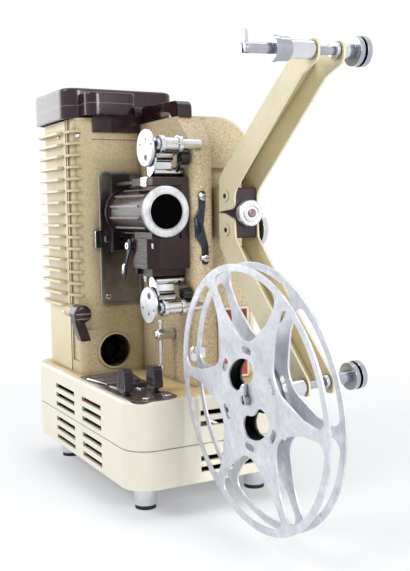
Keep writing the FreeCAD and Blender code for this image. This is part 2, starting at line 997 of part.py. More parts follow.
def nose_outline(inset=0.0):
    """Plan of the front ridge, drawn in by the inset."""
    return [
        (film_wall + inset, seam_y),
        (film_wall + inset, nose_front + inset, nose_corner - inset),
        (nose_right - inset, nose_front + inset, 4.0),
        (nose_right + nose_flare - inset, recess_front + inset, 3.0),
        (nose_right + nose_flare - inset, seam_y),
    ]


def side_profile(front, top, inset):
    """Side view of a front that curves back to the seam below the top."""
    return [
        (seam_y, deck_top),
        (front + inset, deck_top),
        (front + inset, top - nose_brow, 30.0),
        (seam_y - 2.0 + inset, top - inset),
        (seam_y, top - inset),
    ]


def front_view(right, top, radius, left, inset=0.0):
    """Front view of the rounded housing."""
    return [
        (left, deck_top),
        (right - inset, deck_top),
        (right - inset, top - inset, radius - inset),
        (left, top - inset),
    ]


def front_casting_body(inset):
    """Ridge, recess and shoulder of the casting, drawn in by the inset."""
    ridge = prism("XY", nose_outline(inset), deck_top, casting_top)
    ridge = ridge.common(prism("YZ", side_profile(nose_front, casting_top, inset), -half_width, half_width))
    recess = box((0, casting_right), (recess_front + inset, seam_y), (deck_top, shoulder_ledge + 2))
    brow = [
        (seam_y, shoulder_ledge + inset),
        (shoulder_front + inset, shoulder_ledge + inset),
        (shoulder_front + 6.0 + inset, shoulder_ledge + 20.0 - inset, 25.0),
        (seam_y - 2.0 + inset, casting_top - inset),
        (seam_y, casting_top - inset),
    ]
    shoulder = prism("YZ", brow, 0, casting_right)
    view = front_view(casting_right, casting_top, casting_corner, film_wall + inset, inset)
    limit = prism("XZ", view, nose_front - 10, seam_y + 1)
    return join([ridge, recess, shoulder]).common(limit)


def mechanism_casting():
    outer = front_casting_body(0.0)
    inner = front_casting_body(recess_wall)
    wall = box((film_wall, film_wall_inner), (seam_y - 1, casting_rear), (deck_top, casting_top))
    hinge_post = box((hinge_x, film_wall + 1), (casting_rear - 4, casting_rear), (deck_top, casting_top))
    shape = join([outer.cut(inner), wall, hinge_post] + casting_brackets())
    shape = remove(shape, casting_holes())
    return join([shape] + door_hinge_lugs())


def casting_brackets():
    """Bearings, the condenser ring and the claw's guide on the casting."""
    pieces = []
    for low in (low_bearing, high_bearing):
        span = (low, low + bearing_height)
        pieces.append(box((film_wall_inner - 1, upright_x + 6), (upright_y - 6, upright_y + 6), span))
    front_boss = rod("XZ", (shutter_x, lens_z), 7.0, recess_back - 1, shutter_shaft_front + 4)
    pieces.append(front_boss)
    rear = box(
        (film_wall_inner - 1, shutter_x + 7),
        (rear_bearing_y, rear_bearing_y + bearing_height), (lens_z - 7, lens_z + 7))
    pieces.append(rear)
    ring_outer = condenser_radius + condenser_ring
    pieces.append(rod("XZ", lens_axis, ring_outer, condenser_y, condenser_y + condenser_thickness))
    arm = box(
        (lens_x, film_wall + 1), (condenser_y, condenser_y + condenser_thickness),
        (lens_z - 6, lens_z + 6))
    pieces.append(arm)
    middle = (claw_front + claw_rear) / 2
    guide_low = claw_z - 8
    guide_high = claw_z + claw_height + claw_stroke + 8
    for low, high in ((guide_low - 3, guide_low), (guide_high, guide_high + 3)):
        pieces.append(box((film_wall_inner - 1, claw_rod_x + 3), (middle - 1.1, middle + 1.1), (low, high)))
    pieces.append(rod("XY", (claw_rod_x, middle), claw_rod_radius - 0.4, guide_low - 1, guide_high + 1))
    return pieces


def casting_holes():
    """Bores and slots in the casting."""
    cutters = []
    for z in (upper_sprocket_z, lower_sprocket_z):
        cutters.append(
            rod(
                "YZ", (sprocket_y, z), sprocket_shaft_radius + running_gap, film_wall - 1,
                film_wall_inner + 1))
    for low in (low_bearing, high_bearing):
        centre = (upright_x, upright_y)
        cutters.append(rod("XY", centre, upright_radius + running_gap, low - 1, low + bearing_height + 1))
    shaft = shutter_shaft_radius + running_gap
    cutters.append(rod("XZ", (shutter_x, lens_z), shaft, recess_back + 0.5, seam_y + 8))
    cutters.append(
        rod("XZ", (shutter_x, lens_z), shaft, rear_bearing_y - 1, rear_bearing_y + bearing_height + 1))
    cutters.append(
        rod("XZ", lens_axis, condenser_radius, condenser_y - 1, condenser_y + condenser_thickness + 1))
    slot_reach = math.sqrt(shutter_radius ** 2 - (shutter_x - film_wall_inner) ** 2) + 2
    slot = (shutter_y - 1, shutter_y + shutter_thickness + 1)
    cutters.append(
        box((film_wall - 1, film_wall_inner + 1), slot, (lens_z - slot_reach, lens_z + slot_reach)))
    claw_span = (claw_z - 1, claw_z + claw_height + claw_stroke + 1)
    cutters.append(box((film_wall - 1, film_wall_inner + 1), (claw_front - 0.4, shutter_y - 0.5), claw_span))
    belt_middle = motor_z + (film_wall - motor_x) / (shutter_x - motor_x) * (lens_z - motor_z)
    belt_span = (belt_y - 2, casting_rear - 4 - pulley_side)
    cutters.append(
        box(
            (film_wall - 1, film_wall_inner + 1), belt_span,
            (belt_middle - belt_slot_low, belt_middle + belt_slot_high)))
    for centre_y, centre_z in stud_centres():
        cutters.append(rod("YZ", (centre_y, centre_z), stud_base_radius, film_wall - 2, film_wall_inner + 5))
    for centre_y, centre_z in shoe_pin_centres():
        cutters.append(rod("YZ", (centre_y, centre_z), shoe_pin_radius, film_wall - 1, film_wall_inner + 1))
    cutters.append(rod("YZ", (post_y, post_z), post_radius - 1.6, film_wall - 1, film_wall_inner + 1))
    for z in [lens_z - drop for drop in recess_hole_drops]:
        cutters.append(rod("XZ", (recess_hole_x, z), recess_hole_radius, recess_front - 1, recess_back + 1))
    for spot in strap_screw_spots():
        cutters.append(rod("XZ", spot, screw_shank_radius, nose_front - 1, nose_front + recess_wall + 3))
    for z in (upper_pivot_z, lower_pivot_z):
        middle = (block_left + block_right) / 2
        cutters.append(rod("XZ", (middle, z), screw_shank_radius + 1, recess_front - 1, recess_back + 1))
    return cutters


def stud_centres():
    """Side-view positions of the guide rollers' studs."""
    return [(roller_y, upper_roller_z), (roller_y, lower_roller_z)]


def shoe_pin_centres():
    """Side-view positions of the pins that the film shoes turn on."""
    return [
        (shoe_pivot_y, upper_sprocket_z - shoe_pivot_offset),
        (shoe_pivot_y, lower_sprocket_z + shoe_pivot_offset)]


def hinge_spans():
    """Heights of the casting's lugs, one pair round each door knuckle."""
    spans = []
    for bottom in hinge_knuckle_bottoms:
        top = bottom + hinge_knuckle
        spans.append((bottom - loose_gap - hinge_lug, bottom - loose_gap))
        spans.append((top + loose_gap, top + loose_gap + hinge_lug))
    return spans


def door_hinge_lugs():
    """Lugs and pins of the lamp house door on the casting."""
    pieces = []
    centre = (hinge_x, hinge_y)
    for low, high in hinge_spans():
        pieces.append(rod("XY", centre, hinge_radius, low, high))
        pieces.append(box((hinge_x, hinge_x + hinge_radius), (casting_rear - 1, hinge_y), (low, high)))
    for bottom in hinge_knuckle_bottoms:
        pieces.append(rod("XY", centre, hinge_pin_radius, bottom - 2, bottom + hinge_knuckle + 2))
    return pieces


def mechanism_cover():
    left = film_wall_inner
    outer = prism("XZ", front_view(cover_right, cover_top, cover_corner, left), seam_y, casting_rear)
    inner_view = front_view(cover_right, cover_top, cover_corner, left - 1, cover_wall)
    inner = prism("XZ", inner_view, seam_y - 1, casting_rear - cover_wall)
    shell = outer.cut(inner)
    step_view = front_view(
        casting_right - recess_wall, casting_top - recess_wall, casting_corner - recess_wall,
        left - 1)
    lip_opening = prism("XZ", step_view, seam_y - 1, seam_y + cover_wall + 1)
    lip = prism(
        "XZ", front_view(cover_right, cover_top, cover_corner, left), seam_y,
        seam_y + cover_wall).cut(lip_opening)
    return join([shell, lip])


def front_plate():
    outside = rectangle(red_left, red_right, red_bottom, red_top, 3.0)
    inside = rectangle(
        red_left + red_frame, red_right - red_frame, red_bottom + red_frame,
        red_top - red_frame, 1.5)
    plate = prism("XZ", outside, recess_front - red_thickness, recess_front)
    return plate.cut(
        prism("XZ", inside, recess_front - red_thickness - 1, recess_front - red_thickness + 0.5))


def strap_screw_spots():
    """Front-view positions of the lens strap's screws."""
    return [(strap_low_x, strap_low + strap_width), (strap_high_x, strap_high - strap_width)]


def lens_strap():
    half = strap_width / 2
    profile = [
        (strap_low_x - half, strap_low, half),
        (strap_low_x + half, strap_low, half),
        (strap_low_x + half, strap_low + 14.0, 6.0),
        (strap_high_x + half - 2.0, strap_lug_z, 8.0),
        (strap_high_x + half, strap_high - 12.0, 6.0),
        (strap_high_x + half, strap_high, half),
        (strap_high_x - half, strap_high, half),
        (strap_high_x - half, strap_high - 14.0, 6.0),
        (strap_lug_x + 1.0, strap_lug_z + 8.0, 4.0),
        (strap_lug_x, strap_lug_z + 4.0, 2.0),
        (strap_lug_x, strap_lug_z - 8.0, 2.0),
        (strap_low_x - half, strap_low + 14.0, 6.0),
    ]
    strap = prism("XZ", profile, nose_front - strap_thickness, nose_front)
    holes = [
        rod("XZ", spot, screw_shank_radius, nose_front - 5, nose_front + 1) for spot in strap_screw_spots()]
    return remove(strap, holes)


def arm_block():
    body = box((block_left, block_right), (block_front, recess_front), (block_bottom, block_top))
    edges = [edge for edge in body.Edges if edge.BoundBox.YMax < block_front + 0.01]
    body = body.makeFillet(block_edge, edges)
    middle = (block_left + block_right) / 2
    t_base = block_top + clamp_t_height
    t_stem = rod("XY", (middle, block_front + 3.5), 0.9, block_top - 1, t_base)
    t_head = rod("XY", (middle, block_front + 3.5), 2.2, t_base - 1.5, t_base)
    body = join([body, t_stem, t_head])
    cutters = [
        rod("YZ", (upper_pivot_y, upper_pivot_z), pivot_radius, block_left - 1, block_right + 1),
        rod("YZ", (lower_pivot_y, lower_pivot_z), pivot_radius, block_left - 1, block_right + 1),
        rod(
            "XZ", (middle, clamp_z), clamp_screw_radius + running_gap, block_front - 1,
            block_front + clamp_screw_depth),
    ]
    return remove(body, cutters)


def arm_pivots():
    upper = turned("YZ", (upper_pivot_y, upper_pivot_z), [
        (arm_left - 1.2, arm_left - loose_gap, pivot_head_radius),
        (arm_left - 1.0, arm_right + 1.0, pivot_radius),
        (arm_right + loose_gap, arm_right + 1.2, pivot_head_radius),
    ])
    cap_left_face = arm_right + 3.0
    lower = turned("YZ", (lower_pivot_y, lower_pivot_z), [
        (arm_left - 1.2, arm_left - loose_gap, pivot_head_radius),
        (arm_left - 1.0, cap_left_face + 1.0, pivot_radius),
        (arm_right + loose_gap, cap_left_face + 1.0, pivot_head_radius),
        (cap_left_face, cap_left_face + pivot_cap_thickness, pivot_cap_radius),
    ])
    rim = [edge for edge in lower.Edges if edge.BoundBox.XMin > cap_left_face + pivot_cap_thickness - 0.01]
    return Part.makeCompound([upper, lower.makeFillet(1.2, rim)])


def clamp_knob():
    middle = (block_left + block_right) / 2
    centre = (middle, clamp_z)
    back = clamp_knob_front + clamp_knob_thickness
    disc = rod("XZ", centre, clamp_knob_radius, clamp_knob_front, back)
    rims = [edge for edge in disc.Edges if edge.BoundBox.YLength < 0.01]
    disc = disc.makeFillet(1.4, rims)
    face = ring("XZ", centre, 6.4, 5.4, clamp_knob_front - 1, clamp_knob_front + 0.6)
    screw = rod("XZ", centre, clamp_screw_radius, clamp_knob_front - 1.2, block_front + clamp_screw_depth - 2)
    hub = rod("XZ", centre, 5.0, back - 1, block_front - loose_gap)
    return join([disc.cut(face), screw, hub])


def around(centre, offsets):
    """Outline corners given as offsets from a centre, each with its corner radius if it has one."""
    return [(centre[0] + offset[0], centre[1] + offset[1], *offset[2:]) for offset in offsets]


def upper_arm_side():
    """Side view of the upper arm."""
    pivot = (upper_pivot_y, upper_pivot_z)
    tip = (upper_spindle_y, upper_spindle_z)
    round_end = [
        (-arm_end_radius, arm_end_radius, arm_end_radius),
        (-arm_end_radius, -arm_end_radius, arm_end_radius),
    ]
    end = [*upper_arm_neck, *round_end, upper_arm_throat]
    return around(pivot, upper_arm_root) + around(tip, end) + around(pivot, upper_arm_heel)


def lower_arm_side():
    """Side view of the lower arm."""
    pivot = (lower_pivot_y, lower_pivot_z)
    tip = (lower_spindle_y, lower_spindle_z)
    root = around(pivot, [*lower_arm_root, *lower_arm_brow])
    return root + around(tip, lower_arm_neck) + around(pivot, lower_arm_heel)


def spindle_place(side):
    """Position of a spindle: along its tilted axis from the middle of its arm."""
    y = upper_spindle_y if side == "upper" else lower_spindle_y
    z = upper_spindle_z if side == "upper" else lower_spindle_z
    dip = upper_dip if side == "upper" else lower_dip
    turn = FreeCAD.Rotation(FreeCAD.Vector(0, 1, 0), -dip)
    return FreeCAD.Placement(FreeCAD.Vector(arm_middle, y, z), turn)


def placed(shape, side):
    """A spindle piece moved from its own axis to its arm."""
    moved = shape.copy()
    moved.Placement = spindle_place(side)
    return moved.copy()


def channel(corners, web_line, side):
    """A U-shaped arm: two flanges joined by a web along one edge."""
    outer = prism("YZ", corners, arm_left, arm_right)
    hollow = box((arm_left + arm_sheet, arm_right - arm_sheet), (-beyond, 0), (0, beyond))
    web = prism("YZ", web_line, arm_left + 0.2, arm_right - 0.2).common(outer)
    flanges = join([outer.cut(hollow), web])
    spindle_hole = placed(rod("YZ", (0, 0), bush_spigot_radius, -20, 20), side)
    return flanges.cut(spindle_hole)


def upper_arm():
    pivot = (upper_pivot_y, upper_pivot_z)
    tip = (upper_spindle_y, upper_spindle_z)
    web_line = around(pivot, upper_web_root) + around(tip, upper_web_end) + around(pivot, upper_web_heel)
    arm = channel(upper_arm_side(), web_line, "upper")
    bore = rod("YZ", pivot, pivot_radius + running_gap, arm_left - bore_run, arm_right + bore_run)
    return arm.cut(bore)


def lower_arm():
    pivot = (lower_pivot_y, lower_pivot_z)
    tip = (lower_spindle_y, lower_spindle_z)
    web_line = around(pivot, lower_web_root) + around(tip, lower_web_end) + around(pivot, lower_web_heel)
    arm = channel(lower_arm_side(), web_line, "lower")
    bore = rod("YZ", pivot, pivot_radius + running_gap, arm_left - bore_run, arm_right + bore_run)
    return arm.cut(bore)


def spindle_bushes(side):
    """Bushes on both flanges of an arm, tilted with its spindle."""
    half = (arm_right - arm_left) / 2
    left = turned("YZ", (0, 0), [
        (bush_left, -half - 0.6, bush_radius),
        (bush_left, -half + arm_sheet + 1.2, bush_spigot_radius),
    ])
    right = turned("YZ", (0, 0), [
        (half - arm_sheet - 1.2, right_bush_end, bush_spigot_radius),
        (half - arm_sheet - 3.4, half - arm_sheet - 0.9, bush_radius - 0.6),
    ])
    bore = rod("YZ", (0, 0), spindle_shaft_radius + running_gap, bush_left - 1, right_bush_end + 1)
    return Part.makeCompound([placed(left.cut(bore), side), placed(right.cut(bore), side)])


def upper_bushes():
    return spindle_bushes("upper")


def lower_bushes():
    return spindle_bushes("lower")


def spindle_tip(side):
    """Left end of a spindle, from the middle of its arm."""
    return rod_tip if side == "upper" else lower_rod_tip


def spindle(side, pulley_start, pulley_length):
    """Spindle with its reel seat and the slot of the flip latch."""
    tip = spindle_tip(side)
    body = turned("YZ", (0, 0), [
        (tip, seat_left + 1, spindle_rod_radius),
        (seat_left, seat_left + seat_disc, seat_radius),
        (seat_left + seat_disc - 0.5, seat_right, seat_body_radius),
        (seat_right - 1, pulley_start + pulley_length - 1.5, spindle_shaft_radius),
    ])
    half = latch_slot_width / 2
    slot = box((tip - 1, tip + latch_slot_depth), (-half, half), (-5, 5))
    pin_x = tip + latch_slot_depth / 2
    bore = rod("XZ", (pin_x, 0), latch_pin_radius + running_gap, -5, 5)
    return placed(remove(body, [slot, bore]), side)


def upper_spindle():
    return spindle("upper", upper_pulley_start, upper_pulley_length)


def lower_spindle():
    return spindle("lower", lower_pulley_start, lower_pulley_length)


def spindle_pulley(side, start, length):
    """Grooved pulley on the outer end of a spindle."""
    end = start + length
    body = turned("YZ", (0, 0), [
        (start, end - pulley_disc, pulley_hub_radius),
        (end - 2 * pulley_disc - 1.8, end - pulley_disc - 1.8, pulley_radius - 0.4),
        (end - 2 * pulley_disc, end - pulley_disc, pulley_groove_radius),
        (end - pulley_disc, end, pulley_radius),
    ])
    bore = rod("YZ", (0, 0), spindle_shaft_radius, start - 1, end - 1.5)
    return placed(body.cut(bore), side)


def upper_pulley():
    return spindle_pulley("upper", upper_pulley_start, upper_pulley_length)


def lower_pulley():
    return spindle_pulley("lower", lower_pulley_start, lower_pulley_length)


def flip_latch(side):
    """Blade that stands up from the spindle's tip and keeps the reel on."""
    pin_x = spindle_tip(side) + latch_slot_depth / 2
    half = latch_blade / 2
    width = latch_slot_depth - 1.0
    blade = rectangle(pin_x - width / 2, pin_x + width / 2, -width / 2, latch_blade_height, width / 2 - 0.05)
    body = prism("XZ", blade, -half, half)
    pin = rod("XZ", (pin_x, 0), latch_pin_radius, -spindle_rod_radius + 0.2, spindle_rod_radius - 0.2)
    return placed(join([body, pin]), side)


def upper_latch():
    return flip_latch("upper")


def lower_latch():
    return flip_latch("lower")


def polar(radius, degrees):
    """Flat coordinates of a point on a circle round the reel's axis."""
    turn = math.radians(degrees)
    return -radius * math.cos(turn), radius * math.sin(turn)


def flange_sector(inner, outer, middle, half_angle, low, high, corner):
    """Ring sector with rounded corners, in the reel's own plane."""
    mid_outer = polar(outer, middle)
    start = [polar(inner, middle - half_angle), polar(outer, middle - half_angle)]
    end = [polar(outer, middle + half_angle), polar(inner, middle + half_angle)]
    mid_inner = polar(inner, middle)
    lines = [
        Part.Arc(
            point("YZ", *start[1], low), point("YZ", *mid_outer, low),
            point("YZ", *end[0], low)).toShape(),
        Part.makeLine(point("YZ", *end[0], low), point("YZ", *end[1], low)),
        Part.Arc(
            point("YZ", *end[1], low), point("YZ", *mid_inner, low),
            point("YZ", *start[0], low)).toShape(),
        Part.makeLine(point("YZ", *start[0], low), point("YZ", *start[1], low)),
    ]
    solid = Part.Face(Part.Wire(lines)).extrude(point("YZ", 0, 0, high - low))
    upright = [edge for edge in solid.Edges if edge.BoundBox.XLength > (high - low) * 0.9]
    return solid.makeFillet(corner, upright)


def reel_window(turn, low, high):
    """Window between two spokes: wide at the rim, rounded towards the hub."""
    width = (reel_radius - window_apex) * math.tan(math.radians(window_spread))
    corners = [
        (0, window_apex, window_inner_corner),
        (width, reel_radius),
        (-width, reel_radius),
    ]
    window = prism("YZ", corners, low, high)
    window = window.common(rod("YZ", (0, 0), reel_radius - reel_rim, low, high))
    rim = [
        edge for edge in window.Edges
        if edge.BoundBox.XLength > (high - low) * 0.9 and edge.BoundBox.ZMin > kidney_outer + window_apex]
    window = window.makeFillet(window_corner, rim)
    window.rotate(FreeCAD.Vector(0, 0, 0), FreeCAD.Vector(1, 0, 0), 90.0 - turn)
    return window


def dished_disc(left, shift):
    """Thin disc whose middle is pressed sideways by the shift."""
    right = left + reel_sheet
    profile = [
        (left, reel_radius), (left, dish_outer), (left + shift, dish_inner), (left + shift, hub_bore),
        (right + shift, hub_bore), (right + shift, dish_inner), (right, dish_outer), (right, reel_radius)]
    corners = [FreeCAD.Vector(x, radius, 0) for x, radius in profile]
    face = Part.Face(Part.makePolygon(corners + corners[:1]))
    return face.revolve(FreeCAD.Vector(0, 0, 0), FreeCAD.Vector(1, 0, 0), 360)


def reel_flange(left, shift):
    """One flange of the reel with its windows, kidneys and tab slots."""
    low = left - abs(shift) - 1
    high = left + reel_sheet + abs(shift) + 1
    cutters = []
    for index in range(window_count):
        turn = reel_turn + 360.0 / window_count * index
        cutters.append(reel_window(turn, low, high))
        tab_slot = (tab_slot_inner, tab_slot_outer, turn, tab_slot_half_angle)
        cutters.append(flange_sector(*tab_slot, low, high, tab_slot_corner))
    for turn in (kidney_turn, kidney_turn + 180.0):
        kidney = (kidney_inner, kidney_outer, turn, kidney_half_angle)
        cutters.append(flange_sector(*kidney, low, high, kidney_corner))
    return remove(dished_disc(left, shift), cutters)


def reel_near_flange():
    """Left flange with the film core and the hub."""
    flange = reel_flange(reel_left, reel_dish)
    near_face = reel_left + reel_dish + reel_sheet / 2
    core = ring("YZ", (0, 0), core_radius, core_radius - core_wall, near_face, far_inner_face)
    hub = ring("YZ", (0, 0), hub_radius, hub_bore, near_face, far_inner_face)
    return placed(join([flange, core, hub]), "lower")


def reel_far_flange():
    """Right flange with the boss that rests on the spindle's seat."""
    left = far_inner_face + reel_dish
    boss = ring("YZ", (0, 0), hub_radius, hub_bore, far_inner_face + reel_sheet / 2, seat_left - loose_gap)
    return placed(join([reel_flange(left, -reel_dish), boss]), "lower")


def house_outline(inset=0.0, corner=None):
    """Plan of the lamp house up to the film wall, drawn in by the inset."""
    radius = house_corner if corner is None else corner
    return [
        (house_left + inset, house_front + inset, radius - inset),
        (film_wall, house_front + inset),
        (film_wall, house_rear - inset),
        (house_left + inset, house_rear - inset, house_corner - inset),
    ]


def fin_heights():
    """Upper edges of the cooling fins."""
    return [fin_top - index * fin_pitch for index in range(fin_count)]


def channel_band(low, corner):
    """Shallow upright channel beside the door's seam, from a height up to the cap."""
    outer = prism("XY", house_outline(-1.0, corner), low, beyond)
    band = outer.cut(prism("XY", house_outline(channel_depth, corner), low - 1, beyond + 1))
    return band.common(box((-beyond, 0), (channel_front, channel_rear), (low, beyond)))


def lamp_house_shell():
    outer = prism("XY", house_outline(), plinth_top, house_top)
    inner = prism("XY", house_outline(house_wall), plinth_top - 1, house_top + 1)
    shell = outer.cut(inner)
    shell = shell.cut(channel_band(0.0, house_corner))
    fins = []
    for top in fin_heights():
        fin = prism("XY", house_outline(-column_fin_depth), top - fin_thickness, top)
        fin = fin.cut(prism("XY", house_outline(channel_depth + 0.2), top - 5, top + 1))
        fins.append(
            fin.common(
                box((-beyond, house_left + column_fin_run), (column_fin_front, door_front), (0, beyond))))
    lug = rod(
        "XZ", (latch_x, latch_z), latch_lug_radius,
        latch_front + latch_thickness + loose_gap + 2.0, door_front)
    shell = join([shell] + fins + [lug])
    front = (house_front - 1, house_front + house_wall + 1)
    claw_cut = (claw_z - 1, claw_z + claw_height + claw_stroke + 1)
    band = prism("XY", house_outline(-1.0), band_seam - seam_groove / 2, band_seam + seam_groove / 2)
    band = band.cut(prism("XY", house_outline(seam_groove), band_seam - 3, band_seam + 3))
    cutters = [
        box((-beyond, door_rear_edge + loose_gap), (door_front, beyond), (0, beyond)),
        box((door_rear_edge, film_wall + 1), (house_rear - house_corner, beyond), (0, beyond)),
        box(
            (lens_x - aperture_width, lens_x + aperture_width), front,
            (lens_z - aperture_height, lens_z + aperture_height)),
        box((lens_x - claw_tooth_width, lens_x + claw_tooth_width), front, claw_cut),
        rod("XZ", (latch_x, latch_z), latch_shaft_radius + running_gap, 0, door_front - 2),
        band.common(box((band_left, film_wall + 1), (0, house_front + 3), (0, beyond))),
    ]
    screw_run = (house_front - 1, house_front + house_wall + 3)
    spots = [rod("XZ", spot, screw_shank_radius, *screw_run) for spot in tray_screw_spots()]
    return remove(shell, cutters + spots)


def lamp_house_plinth():
    outer = prism("XY", house_outline(0.0, plinth_corner), deck_top, plinth_top)
    inner = prism("XY", house_outline(house_wall, plinth_corner), deck_top - 1, plinth_top + 1)
    shell = outer.cut(inner)
    shell = shell.cut(box((-beyond, 0), (door_front, beyond), (0, beyond)))
    shell = shell.cut(channel_band(deck_top + channel_lift, plinth_corner))
    rim = rod(
        "XZ", (port_x, port_z), port_radius + port_rim, house_front - port_rim_height,
        house_front + 0.5)
    rim_edges = [edge for edge in rim.Edges if edge.BoundBox.YMax < house_front - port_rim_height + 0.01]
    rim = rim.makeFillet(0.9, rim_edges)
    shell = join([shell, rim])
    return shell.cut(rod("XZ", (port_x, port_z), port_radius, house_front - 5, house_front + 5))


def lamp_house_door():
    bottom = deck_top + loose_gap
    top = house_top - 0.4
    outer = prism("XY", house_outline(), bottom, top)
    inner = prism("XY", house_outline(house_wall), bottom - 1, top + 1)
    corner_middle = house_rear - door_corner
    side = [(0, bottom), (house_rear, bottom, door_corner), (house_rear, top), (0, top)]
    inner_rear = house_rear - house_wall
    inner_side = [
        (0, bottom + house_wall), (inner_rear, bottom + house_wall, door_corner - house_wall),
        (inner_rear, top + 1), (0, top + 1)]
    hollow = prism("YZ", inner_side, -beyond, beyond)
    hollow = hollow.fuse(box((-beyond, beyond), (0, corner_middle), (bottom - 1, top + 1)))
    shell = outer.common(prism("YZ", side, -beyond, beyond)).cut(inner.common(hollow))
    fins = []
    for height in fin_heights():
        fin = prism("XY", house_outline(-fin_depth), height - fin_thickness, height)
        fin = fin.cut(prism("XY", house_outline(0.5), height - 5, height + 1))
        fins.append(
            fin.common(box((-beyond, door_fin_end), (door_front + door_fin_start, beyond), (0, beyond))))
    shell = join([shell] + fins)
    keep = box((-beyond, door_rear_edge), (door_front + door_seam, beyond), (0, beyond))
    shell = shell.common(keep)
    knuckles = []
    centre = (hinge_x, hinge_y)
    for low in hinge_knuckle_bottoms:
        high = low + hinge_knuckle
        knuckles.append(rod("XY", centre, hinge_radius, low, high))
        knuckles.append(box((door_rear_edge - 4, hinge_x), (house_rear - 1, hinge_y + 1.0), (low, high)))
    shell = join([shell] + knuckles)
    return shell.cut(rod("XY", centre, hinge_pin_radius + running_gap, bottom - 1, top + 1))


def door_latch():
    centre = (latch_x, latch_z)
    back = latch_front + latch_thickness
    disc = rod("XZ", centre, latch_radius, latch_front, back)
    rims = [edge for edge in disc.Edges if edge.BoundBox.YMax < latch_front + 0.01]
    disc = disc.makeFillet(2.5, rims)
    left = latch_x - latch_radius + loose_gap
    right = left + latch_tail_width
    tail_bottom = latch_z - latch_tail_length
    tail = [
        (left, latch_z),
        (right, latch_z),
        (right, latch_z - latch_radius, 3.0),
        (right + latch_tail_lean, tail_bottom, 1.0),
        (left + latch_tail_lean, tail_bottom, 1.0),
        (left, latch_z - latch_radius, 6.0),
    ]
    blade = prism("XZ", tail, latch_front + 1.0, latch_front + 1.0 + latch_tail_depth)
    shaft = rod("XZ", centre, latch_shaft_radius, back - 1, door_front - 4)
    collar = rod("XZ", centre, latch_lug_radius, back - 1, back + 2.0)
    return join([disc, blade, shaft, collar])


def lamp_cap():
    plan = rectangle(cap_left, cap_right, cap_front, cap_rear, cap_corner)
    inset_plan = rectangle(
        cap_left + cap_wall, cap_right - cap_wall, cap_front + cap_wall, cap_rear - cap_wall,
        cap_corner - cap_wall)
    body = prism("XY", plan, house_top, cap_top)
    rim = [edge for edge in body.Edges if edge.BoundBox.ZMin > cap_top - 0.01]
    body = body.makeFillet(cap_edge, rim)
    skirt = prism("XY", plan, house_top - cap_skirt_drop, house_top + 1)
    skirt = skirt.common(box((film_wall + 1.0, beyond), (0, beyond), (0, beyond)))
    vent_plan = [
        (vent_left, vent_front, vent_corner),
        (vent_right, vent_front, vent_corner),
        (vent_right, cap_front + cap_wall),
        (vent_left, cap_front + cap_wall),
    ]
    vent = prism("XY", vent_plan, vent_bottom, vent_top)
    vent_rim = [
        edge for edge in vent.Edges
        if edge.BoundBox.ZMin > vent_top - 0.01 and edge.BoundBox.YMin < cap_front]
    vent_rim.sort(key=lambda edge: edge.BoundBox.YMin)
    vent = vent.makeFillet(vent_edge, vent_rim)
    strip = box(
        (strip_left, film_wall - loose_gap), (strip_front, house_front - loose_gap),
        (strip_bottom, vent_bottom + 2.0))
    hollow = prism("XY", inset_plan, house_top - 10, cap_top - cap_wall)
    vent_inner = [
        (vent_left + cap_wall, vent_front + cap_wall, vent_corner - cap_wall),
        (vent_right - cap_wall, vent_front + cap_wall, vent_corner - cap_wall),
        (vent_right - cap_wall, cap_front + cap_wall + 2.0),
        (vent_left + cap_wall, cap_front + cap_wall + 2.0),
    ]
    vent_hollow = prism("XY", vent_inner, vent_bottom + cap_wall, vent_top - cap_wall)
    return join([body, skirt, vent, strip]).cut(hollow).cut(vent_hollow)


def carrying_handle():
    bottom = casting_top
    under = handle_top - handle_bar
    inner_foot = handle_front + handle_leg
    profile = [
        (handle_rear, bottom),
        (handle_rear, handle_top - handle_fall / 2, handle_corner),
        (handle_front, handle_top - handle_fall * 1.5, handle_corner),
        (handle_front - handle_fall, bottom),
        (inner_foot, bottom),
        (inner_foot + handle_edge, under - handle_fall * 1.5, handle_inner_corner),
        (handle_front + handle_crown, under - handle_fall / 4, handle_arch),
        (handle_rear - handle_leg - handle_shoulder, under - handle_fall * 1.25, handle_arch),
        (handle_rear - handle_leg, bottom),
    ]
    body = prism("YZ", profile, handle_left, handle_right)
    body = body.cut(
        box((film_wall_inner, handle_right + 1), (seam_y, handle_rear + 1), (bottom - 1, cover_top)))
    ends = (handle_front - handle_edge, handle_rear + handle_edge / 2)
    plan = rectangle(handle_left, handle_right, *ends, handle_edge)
    return body.common(prism("XY", plan, bottom - 1, handle_top + 1))


def tray_screw_spots():
    """Front-view positions of the screws that hold the gate tray."""
    x = tray_left + tray_rim + screw_head_radius + loose_gap
    return [(x, tray_screw_high), (x, tray_bottom + tray_rim + 2 * screw_head_radius)]


